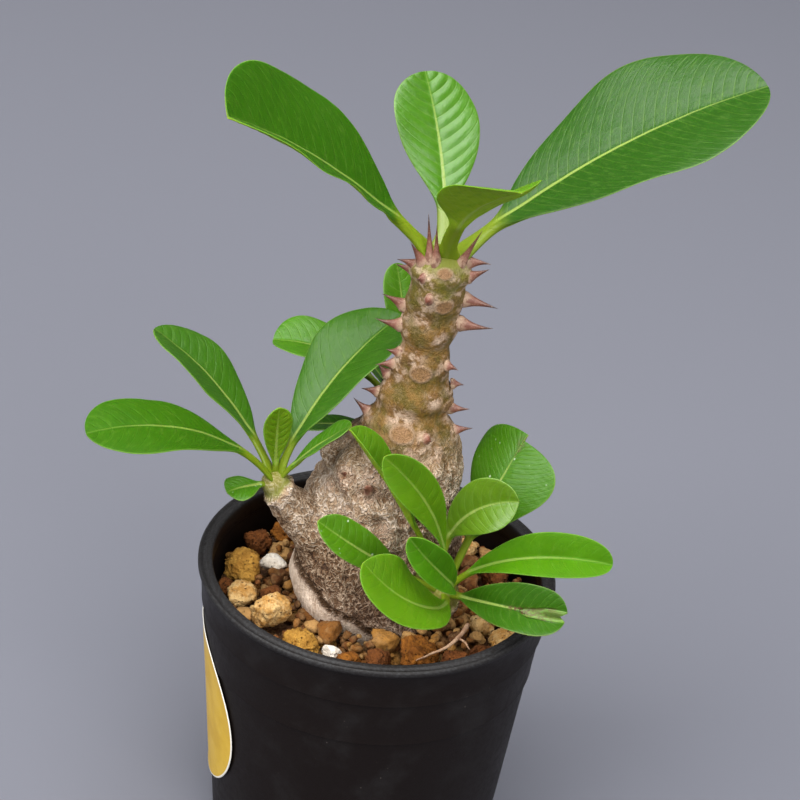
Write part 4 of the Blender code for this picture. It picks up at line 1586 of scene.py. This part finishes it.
@dataclass
class Pot:
    """The round moulded pot: grooved lip, tapering wall with two faint steps, and drained floor.

    lip lists places along its outline as how far in from the rim's edge and how far below its top they are.
    """

    height: float = 66.0
    rim_radius: float = 37.5
    rim_width: float = 3.0
    wall: float = 1.5
    floor: float = 1.8
    taper: float = 0.08
    rings: tuple[float, float] = (9.5, 20.0)
    ring_step: float = 0.35
    rim_band: float = 4.0
    lip: tuple[tuple[float, float], ...] = (
        (0.62, 1.9), (0.42, 1.55), (0.12, 1.3), (0.0, 1.0), (0.0, 0.42), (0.12, 0.14), (0.36, 0.0),
        (0.62, 0.06), (0.86, 0.28), (1.15, 0.40), (1.45, 0.30), (1.62, 0.08), (1.85, 0.0), (2.55, 0.02),
    )  # fmt: skip
    lip_overhang: float = 0.5
    sides: int = 224
    drain_count: int = 6
    drain_radius: float = 3.5
    drain_circle: float = 19.0
    sharp_angle: float = 42.0

    def plain_radius(self, height: float | Array) -> float | Array:
        """Outer radius at a height from the even taper alone."""
        return self.rim_radius - self.lip_overhang - self.taper * (self.height - height)

    def wall_radius(self, height: float) -> float:
        """Outer radius at a height: an even taper, less one step below each ring."""
        steps = sum(self.ring_step for depth in self.rings if height < self.height - depth)
        return self.plain_radius(height) - steps

    def inner_radius(self, height: float) -> float:
        """Inner radius at a height."""
        return self.wall_radius(height) - self.wall

    def profile(self) -> Array:
        """The outline that is turned, from the underside, up outside, over the lip and down inside.

        Returns:
            Rows of radius and height.
        """
        top, outer, radius = self.height, self.rim_radius, self.wall_radius
        outside = [(radius(0.8) - 1.0, 0.0), (radius(0.8) - 0.35, 0.12), (radius(0.8), 0.8)]
        outside += [(radius(z), z) for z in (2.0, 8.0, 16.0, 24.0, 32.0, 40.0, 45.2)]
        for depth in reversed(self.rings):
            level = top - depth
            outside += [(radius(level - 0.4), level - 0.4), (radius(level - 0.1), level - 0.12)]
            outside += [(radius(level + 0.2) + 0.06, level + 0.18), (radius(level + 0.6), level + 0.6)]
            outside += [(radius(level + 4.0), level + 4.0)]
        lip = [(outer - inset, top - depth) for inset, depth in self.lip]
        inner = outer - self.rim_width
        lip += [(inner + 0.2, top - 0.12), (inner + 0.03, top - 0.35), (inner, top - 0.7)]
        inside = [(inner - 0.02, top - 2.4), (inner - 0.1, top - self.rim_band)]
        levels = (top - self.rim_band - 1.0, 54.0, 45.6, 30.0, 12.0, self.floor + 2.0)
        inside += [(self.inner_radius(z), z) for z in levels]
        corner = self.inner_radius(3.0)
        inside += [(corner - 0.6, self.floor + 0.6), (corner - 2.0, self.floor)]
        return np.array(outside + lip + inside)

    def build(self, material: Material) -> None:
        """Turns the profile about Z, wanders it very slightly out of round, and bores the drain holes.

        Args:
            material: its finish.
        """
        radius, level = self.profile().T
        turn = np.linspace(0, 2 * math.pi, self.sides, endpoint=False)
        warp = 1 + 0.0012 * np.sin(2 * turn + 0.7) + 0.0007 * np.sin(5 * turn)
        x = radius[:, None] * np.cos(turn) * warp
        y = radius[:, None] * np.sin(turn) * warp
        z = level[:, None] + 0 * x
        pot = Shell.from_rings(np.stack([x, y, z], axis=-1)).to_object("pot_shell", material)
        for k in range(self.drain_count):
            angle = 2 * math.pi * (k + 0.5) / self.drain_count
            self.bore(pot, self.drain_circle * math.cos(angle), self.drain_circle * math.sin(angle), material)
        pot.data.shade_smooth()
        pot.data.set_sharp_from_angle(angle=math.radians(self.sharp_angle))
        place(pot, "black_plastic", "pot")

    def bore(self, pot: Piece, x: float, y: float, material: Material) -> None:
        """Cuts one round drain hole through the floor with an exact Boolean, and applies it.

        Args:
            pot: the pot.
            x: the hole's middle.
            y: the hole's middle.
            material: the pot's finish.
        """
        turn = np.linspace(0, 2 * math.pi, 32, endpoint=False)
        column = np.array([-2.0, self.floor + 2.0])
        rings = np.stack(
            [
                x + self.drain_radius * np.cos(turn) + 0 * column[:, None],
                y + self.drain_radius * np.sin(turn) + 0 * column[:, None],
                column[:, None] + 0 * turn,
            ],
            axis=-1,
        )
        cutter = Shell.from_rings(rings).to_object("drain_cutter", material)
        cut = pot.modifiers.new("drain", "BOOLEAN")
        cut.operation = "DIFFERENCE"
        cut.solver = "EXACT"
        cut.object = cutter
        result = bpy.data.meshes.new_from_object(pot.evaluated_get(bpy.context.evaluated_depsgraph_get()))
        pot.modifiers.clear()
        pot.data = result
        bpy.data.objects.remove(cutter, do_unlink=True)


@dataclass
class Label:
    """A blank round sticker bent round the wall."""

    azimuth: float = 187.0
    height: float = 32.0
    radius: float = 20.0
    thickness: float = 0.22
    rings: int = 28
    spokes: int = 120

    def build(self, pot: Pot, material: Material) -> None:
        """Wraps a disc on the wall: across becomes angle about Z, with a rounded cut edge.

        Args:
            pot: the pot it is stuck on.
            material: its finish.
        """
        reach = self.radius * np.concatenate([np.linspace(0.02, 0.985, self.rings), [0.995, 1.0, 0.995]])
        back = self.radius * np.linspace(0.985, 0.02, self.rings)
        distance = np.concatenate([reach, back])[:, None]
        lift = np.concatenate([np.ones(self.rings), [0.85, 0.5, 0.15], np.zeros(self.rings)])[:, None]
        turn = np.linspace(0, 2 * math.pi, self.spokes, endpoint=False)[None, :]
        z = self.height + distance * np.sin(turn)
        wall = pot.plain_radius(z) - pot.ring_step
        noise_at = np.stack([distance * np.cos(turn), distance * np.sin(turn), 0 * z], axis=-1)
        raised = 0.10 * np.clip(lattice_noise(noise_at, 7.0, 4), 0, 1) + 0.12 * smoothstep(17.5, 20, distance)
        radius = wall + 0.05 + self.thickness * lift + raised
        angle = math.radians(self.azimuth) + distance * np.cos(turn) / wall
        rings = np.stack([radius * np.cos(angle), radius * np.sin(angle), z], axis=-1)
        edge = (self.radius - distance + 0 * z)[..., None]
        made = Shell.from_rings(rings, {"edge": edge}).to_object("label_sticker", material)
        place(made, "label_yellow", "label")


# ---- Gravel and twig ----


class StoneKind(Enum):
    """The colours of stone in the top dressing."""

    OCHRE = "ochre"
    TAN = "tan"
    PUMICE = "pumice"
    AMBER = "amber"
    RUSSET = "russet"


STONE_FINISHES = {
    StoneKind.OCHRE: StoneFinish(
        "stone_ochre",
        (0.370, 0.195, 0.034), (0.240, 0.112, 0.016), (0.050, 0.022, 0.005), (0.540, 0.340, 0.100),
    ),
    StoneKind.TAN: StoneFinish(
        "stone_tan",
        (0.350, 0.175, 0.042), (0.500, 0.330, 0.140), (0.045, 0.020, 0.008), (0.700, 0.560, 0.360), 0.60,
    ),
    StoneKind.PUMICE: StoneFinish(
        "stone_pumice",
        (0.790, 0.730, 0.650), (0.680, 0.600, 0.500), (0.360, 0.270, 0.190), (0.900, 0.870, 0.820),
    ),
    StoneKind.AMBER: StoneFinish(
        "stone_amber",
        (0.225, 0.080, 0.009), (0.130, 0.042, 0.005), (0.030, 0.010, 0.002), (0.360, 0.155, 0.024),
    ),
    StoneKind.RUSSET: StoneFinish(
        "stone_russet",
        (0.135, 0.043, 0.009), (0.074, 0.023, 0.005), (0.020, 0.008, 0.003), (0.250, 0.100, 0.026),
    ),
}


def cube_sphere(steps: int) -> tuple[Array, Array]:
    """Directions and quads of a ball made from a cube's six faces, with shared edges merged.

    Args:
        steps: squares along each edge of the cube.

    Returns:
        Unit vectors and the quads that join them.
    """
    line = np.tan(np.linspace(-1, 1, steps + 1) * math.pi / 4)
    a, b = np.meshgrid(line, line, indexing="ij")
    sheets, quads = [], []
    row, side = np.meshgrid(np.arange(steps), np.arange(steps), indexing="ij")
    corner = row * (steps + 1) + side
    for axis in range(3):
        for sign in (-1.0, 1.0):
            sheet = np.zeros((steps + 1, steps + 1, 3))
            sheet[..., axis] = sign
            sheet[..., (axis + 1) % 3] = a
            sheet[..., (axis + 2) % 3] = b
            quad = np.stack([corner, corner + steps + 1, corner + steps + 2, corner + 1], axis=-1)
            quad = quad.reshape(-1, 4)
            quads.append((quad if sign > 0 else quad[:, ::-1]) + len(sheets) * (steps + 1) ** 2)
            sheets.append(sheet.reshape(-1, 3))
    points = np.vstack(sheets)
    points /= np.linalg.norm(points, axis=1, keepdims=True)
    unique, index = np.unique(points.round(6), axis=0, return_inverse=True)
    return unique, index.ravel()[np.vstack(quads)]


def stone_shapes(
    directions: Array, count: int, rng: np.random.Generator, facets: int, roundness: float
) -> Array:
    """Rounded lumps: each is the soft inside of random planes, r = (sum of (d·n / reach)^p)^(-1/p).

    Args:
        directions: unit vectors shaped (points, 3).
        count: how many lumps.
        rng: the random source.
        facets: planes for each lump.
        roundness: the power p; a low one gives rounder lumps.

    Returns:
        Points shaped (count, points, 3), each lump about 1 across its radius.
    """
    normals = rng.normal(size=(count, facets, 3))
    normals /= np.linalg.norm(normals, axis=2, keepdims=True)
    reach = rng.uniform(0.72, 1.0, size=(count, facets, 1))
    facing = np.clip(np.einsum("cfk,pk->cfp", normals, directions), 1e-3, None) / reach
    radius = (np.sum(facing**roundness, axis=1) + 0.25**roundness) ** (-1 / roundness)
    radius = np.clip(radius, 0.55, 1.25)
    return radius[..., None] * directions[None]


@dataclass
class Gravel:
    """The top dressing: the stones that the frame holds, and a bed of smaller ones packed below them.

    stones are x, y, size, flatness and kind.  middling and grains are how many, and their smallest and
    largest size.  surfaces are each kind's roundness, roughness and depth of hollows.
    """

    top: float = 54.0
    stones: tuple[tuple[float, float, float, float, StoneKind], ...] = (
        (-28.6, 4.6, 7.8, 0.9, StoneKind.OCHRE), (-22.4, 8.6, 6.4, 0.75, StoneKind.PUMICE),
        (-27.2, -5.6, 7.0, 0.9, StoneKind.TAN), (-20.8, -11.6, 8.2, 0.95, StoneKind.TAN),
        (-14.2, -19.6, 8.4, 0.7, StoneKind.OCHRE), (-7.6, -19.8, 4.4, 0.9, StoneKind.PUMICE),
        (-3.0, -23.2, 6.0, 0.75, StoneKind.AMBER), (2.8, -22.0, 6.2, 0.9, StoneKind.RUSSET),
        (10.6, -19.6, 9.6, 0.8, StoneKind.AMBER), (18.4, -19.4, 6.4, 0.85, StoneKind.RUSSET),
        (23.4, -15.2, 6.2, 0.8, StoneKind.RUSSET), (27.4, -9.4, 6.4, 0.8, StoneKind.TAN),
        (29.6, -2.4, 6.2, 0.85, StoneKind.OCHRE), (22.8, -5.8, 6.0, 0.85, StoneKind.TAN),
        (29.4, 5.2, 6.8, 0.8, StoneKind.TAN), (22.6, 3.2, 6.4, 0.85, StoneKind.OCHRE),
        (25.6, 13.4, 7.0, 0.8, StoneKind.RUSSET), (-21.4, -2.4, 5.4, 0.8, StoneKind.RUSSET),
        (-26.8, 15.2, 6.4, 0.8, StoneKind.RUSSET), (-21.0, 20.8, 7.0, 0.8, StoneKind.AMBER),
        (-12.8, 22.2, 6.4, 0.85, StoneKind.RUSSET), (-8.4, 29.0, 6.6, 0.8, StoneKind.TAN),
        (1.6, 23.6, 6.8, 0.8, StoneKind.AMBER), (10.6, 22.4, 6.0, 0.9, StoneKind.OCHRE),
        (18.2, 21.6, 7.2, 0.8, StoneKind.TAN), (-31.0, -1.4, 4.6, 0.9, StoneKind.RUSSET),
    )  # fmt: skip
    middling: tuple[int, float, float] = (84, 3.4, 6.2)
    grains: tuple[int, float, float] = (640, 1.3, 2.9)
    stem_hollow: float = 15.5
    bed_radius: float = 33.4
    bed_shift: float = 0.9
    layers: tuple[float, ...] = (0.0, 1.6, 3.0)
    layer_shares: tuple[float, ...] = (0.5, 0.3, 0.2)
    tries: int = 16000
    seed: int = 42
    stone_steps: int = 26
    middling_steps: int = 12
    grain_steps: int = 3
    surfaces: dict[StoneKind, tuple[float, float, float]] = field(
        default_factory=lambda: {
            StoneKind.OCHRE: (7.0, 0.110, 0.22),
            StoneKind.TAN: (5.0, 0.080, 0.16),
            StoneKind.PUMICE: (9.0, 0.055, 0.08),
            StoneKind.AMBER: (8.0, 0.125, 0.22),
            StoneKind.RUSSET: (7.0, 0.130, 0.24),
        }
    )
    tints: tuple[Colour, ...] = (
        (0.120, 0.040, 0.009),
        (0.066, 0.023, 0.006),
        (0.170, 0.064, 0.011),
        (0.240, 0.110, 0.022),
        (0.300, 0.165, 0.056),
        (0.135, 0.050, 0.010),
    )

    def build_stones(self, materials: dict[StoneKind, Material]) -> None:
        """Each stone of the frame as a rounded, pitted lump, in place of its CAD node.

        Args:
            materials: the finish of each kind.
        """
        directions, quads = cube_sphere(self.stone_steps)
        for number, (x, y, size, flatness, kind) in enumerate(self.stones, start=1):
            rng = np.random.default_rng(number)
            power, rough, pitted = self.surfaces[kind]
            points = stone_shapes(directions, 1, rng, 12, power)[0]
            points = points / np.abs(points).max(axis=0)
            grain = fractal_noise(points * size * 0.42, 1.0, number, 2) + 0.6 * fractal_noise(
                points * size * 1.6, 1.0, number + 9, 3
            )
            hollows = smoothstep(0.30, 0.75, lattice_noise(points * size * 0.75, 1.0, number + 50))
            points = points * (1 + rough * grain - pitted * hollows)[:, None]
            turn = rng.uniform(0, math.pi)
            points = points * np.array([size * 0.52, size * 0.47, size * 0.5 * flatness])
            cos, sin = math.cos(turn), math.sin(turn)
            points = points @ np.array([[cos, sin, 0], [-sin, cos, 0], [0, 0, 1]])
            points += np.array([x, y, self.top + GAP - points[:, 2].min()])
            made = Shell(points, quads).to_object(f"stone_{number:02d}_{kind.value}", materials[kind])
            place(made, f"stone_{kind.value}", f"stone_{number:02d}")

    def scatter(self, rng: np.random.Generator, wanted: tuple[int, float, float], kept: Array) -> Array:
        """Places for small stones: random tries on the ring of soil, kept where they don't crowd.

        A try is dropped where it would sit inside a large stone or the stem, or too close to one already
        kept at its level.

        Args:
            rng: the random source.
            wanted: how many to keep at most, and the smallest and largest size.
            kept: rows of x, y, z and size that are there already.

        Returns:
            The rows added.
        """
        big = np.array([s[:3] for s in self.stones])
        count, smallest, largest = wanted
        angle = rng.uniform(0, 2 * math.pi, self.tries)
        reach = np.sqrt(rng.uniform(self.stem_hollow**2, self.bed_radius**2, self.tries))
        size = rng.uniform(smallest, largest, self.tries)
        level = rng.choice(self.layers, self.tries, p=self.layer_shares)
        along_x, along_y = reach * np.cos(angle), reach * np.sin(angle) + self.bed_shift
        table, start = kept, len(kept)
        for x, y, across, lift in zip(along_x, along_y, size, level):
            if math.hypot(x, y) > self.bed_radius - across / 2 + 0.6:
                continue
            near_big = np.hypot(big[:, 0] - x, big[:, 1] - y)
            if (near_big < big[:, 2] / 2 + across * (0.12 if lift == 0 else 0.40)).any():
                continue
            row = np.array([x, y, self.top + lift + 0.10 * across, across])
            gap = np.linalg.norm((table[:, :3] - row[:3]) * [1, 1, 1.15], axis=1)
            if (gap < 0.37 * (table[:, 3] + across)).any():
                continue
            table = np.vstack([table, row])
            if len(table) - start >= count:
                break
        return table[start:]

    def lump_shell(self, table: Array, steps: int, rough: float, rng: np.random.Generator) -> Shell:
        """Small stones as one shell: a ball cut by random planes for each, roughened by noise.

        Args:
            table: rows of x, y, z and size.
            steps: squares along each edge of the ball's cube.
            rough: how rough they are, as a share of their radius.
            rng: the random source.

        Returns:
            The shell, tinted stone by stone.
        """
        directions, quads = cube_sphere(steps)
        count = len(table)
        lumps = stone_shapes(directions, count, rng, 10, 7.0)
        apart = np.arange(count)[:, None, None] * 3.7
        coarse = fractal_noise(lumps * 1.3 + apart, 1.0, 8, 2)
        fine = fractal_noise(lumps * table[:, 3][:, None, None] * 0.9 + apart, 1.0, 18, 3)
        lumps = lumps * (1 + rough * coarse + 0.5 * rough * fine)[..., None]
        stretch = rng.uniform(0.78, 1.12, size=(count, 1, 3)) * np.array([1.0, 1.0, 0.85])
        points = table[:, None, :3] + lumps * stretch * (table[:, 3] / 2)[:, None, None]
        starts = (np.arange(count) * len(directions))[:, None, None]
        tint = np.array(self.tints)[rng.integers(0, len(self.tints), count)]
        tint = tint * rng.uniform(0.75, 1.25, size=(count, 1))
        values = {"tint": np.repeat(tint[:, None, :], len(directions), axis=1).reshape(-1, 3)}
        return Shell(points.reshape(-1, 3), (quads[None] + starts).reshape(-1, 4), values=values)

    def soil_shell(self, pot: Pot) -> Shell:
        """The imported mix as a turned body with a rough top, from the pot's floor to below the stones.

        Args:
            pot: the pot that it fills.

        Returns:
            The shell, tinted dark brown.
        """
        levels = np.array([pot.floor + GAP, pot.floor + 2.6, 20.0, 45.2, self.top - 0.6])
        rims = np.array([pot.inner_radius(z) - 0.45 for z in levels])
        rims[0] -= 2.2
        inward = np.linspace(rims[-1] - 0.3, 0.4, 60)
        radius = np.concatenate([[0.4], rims, inward])[:, None]
        height = np.concatenate([[levels[0]], levels, np.full(60, self.top)])[:, None]
        turn = np.linspace(0, 2 * math.pi, 180, endpoint=False)[None, :]
        x, y = radius * np.cos(turn), radius * np.sin(turn)
        z = height + 0 * x
        at = np.stack([x, y, z], axis=-1)
        z = z + (0.9 * fractal_noise(at, 3.4, 61) - 0.5) * (np.arange(len(radius))[:, None] > len(rims))
        rings = np.stack([x, y, z], axis=-1)
        tint = np.array([0.075, 0.034, 0.016]) * (1 + 0.3 * lattice_noise(at, 4.0, 5))[..., None]
        return Shell.from_rings(rings, {"tint": tint})

    def build_bed(self, pot: Pot, material: Material) -> None:
        """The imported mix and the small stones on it, in place of the CAD soil.

        Args:
            pot: the pot that it fills.
            material: the bed's finish.
        """
        place(self.soil_shell(pot).to_object("soil_mix_body", material), "soil_mix", "soil")
        rng = np.random.default_rng(self.seed)
        middling = self.scatter(rng, self.middling, np.zeros((0, 4)))
        grains = self.scatter(rng, self.grains, middling)
        lumps = self.lump_shell(middling, self.middling_steps, 0.16, rng)
        place(lumps.to_object("gravel_middling", material), "soil_mix")
        lumps = self.lump_shell(grains, self.grain_steps, 0.14, rng)
        place(lumps.to_object("gravel_grains", material), "soil_mix")


@dataclass
class Twig:
    """The dry forked twig on the stones: two paths of x, y, z and radius."""

    path: tuple[tuple[float, ...], ...] = (
        (19.8, -12.6, 61.6, 0.46), (18.2, -16.4, 61.4, 0.44), (15.4, -20.6, 61.2, 0.30),
        (9.8, -25.2, 60.8, 0.14),
    )  # fmt: skip
    side_path: tuple[tuple[float, ...], ...] = (
        (18.0, -16.8, 61.3, 0.26), (19.4, -17.8, 61.1, 0.20), (20.4, -19.6, 60.7, 0.10),
    )  # fmt: skip

    def shell(self, path: Array, seed: int) -> Shell:
        """A knobbly tube along a path: its radius carried by the path and roughened by noise.

        Args:
            path: rows of x, y, z and radius.
            seed: picks the noise.

        Returns:
            The shell.
        """
        line = path_spline(path, 60)
        line[:, :3] += 0.14 * np.stack([lattice_noise(line[:, :3], 1.6, seed + k) for k in range(3)], axis=-1)
        across, other = frame_along(line[:, :3], (0.0, 0.0, 1.0))
        turn = np.linspace(0, 2 * math.pi, 14, endpoint=False)[None, :, None]
        unit = np.cos(turn) * across[:, None] + np.sin(turn) * other[:, None]
        rough = 1 + 0.16 * lattice_noise(line[:, None, :3] + 0.6 * unit, 0.5, seed + 9)
        rings = line[:, None, :3] + (line[:, 3][:, None] * rough)[..., None] * unit
        return Shell.from_rings(rings)

    def build(self, material: Material) -> None:
        """The twig and its side shoot as one piece, in place of the CAD twig."""
        shells = [self.shell(np.array(self.path), 3), self.shell(np.array(self.side_path), 8)]
        place(Shell.joined(shells).to_object("twig_dry", material), "dry_twig", "twig")


# ---- Studio ----


@dataclass
class Studio:
    """Camera, floor, world and lights.

    The camera stands in front of the pot and looks down on it with a short telephoto lens.  lights are name,
    place, side of the square, power and tint.
    """

    eye: Triple = (0.0, -330.0, 292.0)
    aim: Triple = (0.65, 0.0, 105.3)
    roll: float = 6.66
    lens: float = 85.6
    sensor: float = 36.0
    floor_size: float = 6000.0
    sky: tuple[float, ...] = (0.80, 0.84, 0.92, 1.0)
    sky_strength: float = 0.22
    light_aim: Triple = (0.0, 0.0, 90.0)
    lights: tuple[tuple[str, Triple, float, float, Colour], ...] = (
        ("key", (-1120, -660, 1110), 1400, 46.0, (1.0, 0.99, 0.97)),
        ("top", (80, -320, 1790), 1800, 82.0, (1.0, 0.99, 0.97)),
        ("front", (760, -1400, 750), 1000, 27.0, (1.0, 0.99, 0.98)),
    )

    def build_camera(self) -> None:
        """Points the camera from the eye to the aim, then rolls it about its own axis."""
        data = bpy.data.cameras.new("camera")
        data.lens = self.lens
        data.sensor_width = self.sensor
        data.clip_start, data.clip_end = 0.01, 20.0
        made = linked("camera", data)
        way = (Vector(self.aim) - Vector(self.eye)).normalized()
        turned = way.to_track_quat("-Z", "Y").to_matrix() @ Matrix.Rotation(math.radians(self.roll), 3, "Z")
        made.matrix_world = Matrix.Translation(Vector(self.eye) * MM) @ turned.to_4x4()
        bpy.context.scene.camera = made

    def build_floor(self, material: Material) -> None:
        """A large flat sheet of pale paper under the pot.

        Args:
            material: the paper.
        """
        half = self.floor_size * MM / 2
        mesh = bpy.data.meshes.new("floor")
        corners = [(-half, -half, 0), (half, -half, 0), (half, half, 0), (-half, half, 0)]
        mesh.from_pydata(corners, [], [(0, 1, 2, 3)])
        mesh.materials.append(material)
        linked("floor", mesh)

    def build_light(self, name: str, place_mm: Triple, size_mm: float, watts: float, colour: Colour) -> None:
        """A square soft light aimed at the plant.

        Args:
            name: the light's name.
            place_mm: where it hangs.
            size_mm: the side of the square.
            watts: its power.
            colour: its tint.
        """
        data = bpy.data.lights.new(name, "AREA")
        data.shape = "SQUARE"
        data.size = size_mm * MM
        data.energy = watts
        data.color = colour
        made = linked(name, data)
        made.location = Vector(place_mm) * MM
        way = Vector(self.light_aim) - Vector(place_mm)
        made.rotation_euler = way.to_track_quat("-Z", "Y").to_euler()

    def build(self, floor: Material) -> None:
        """Builds the whole studio.

        Args:
            floor: the paper's finish.
        """
        self.build_camera()
        self.build_floor(floor)
        world = bpy.data.worlds.new("studio")
        world.use_nodes = True
        world.node_tree.nodes["Background"].inputs["Color"].default_value = self.sky
        world.node_tree.nodes["Background"].inputs["Strength"].default_value = self.sky_strength
        bpy.context.scene.world = world
        for light in self.lights:
            self.build_light(*light)
        bpy.context.scene.view_settings.view_transform = "Standard"


def write_sizes() -> None:
    """Brings the view layer up to date."""
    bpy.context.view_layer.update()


def main() -> None:
    """Builds every sub-assembly in order."""
    logging.basicConfig(level=logging.INFO, format="%(name)s: %(message)s")
    pot = Pot()
    pot.build(PlasticFinish().make())
    Label().build(pot, LabelFinish().make())
    gravel = Gravel()
    gravel.build_bed(pot, BedFinish().make())
    gravel.build_stones({kind: finish.make() for kind, finish in STONE_FINISHES.items()})
    stem = Stem()
    stem.build_body(BarkFinish().make())
    stem.build_spines(SpineFinish().make())
    leaf_skins = {gloss: finish.make() for gloss, finish in LEAF_FINISHES.items()}
    for tip in FOLIAGE:
        tip.build(leaf_skins)
    Twig().build(TwigFinish().make())
    Studio().build(FloorFinish().make())
    write_sizes()


if __name__ == "__main__":
    main()
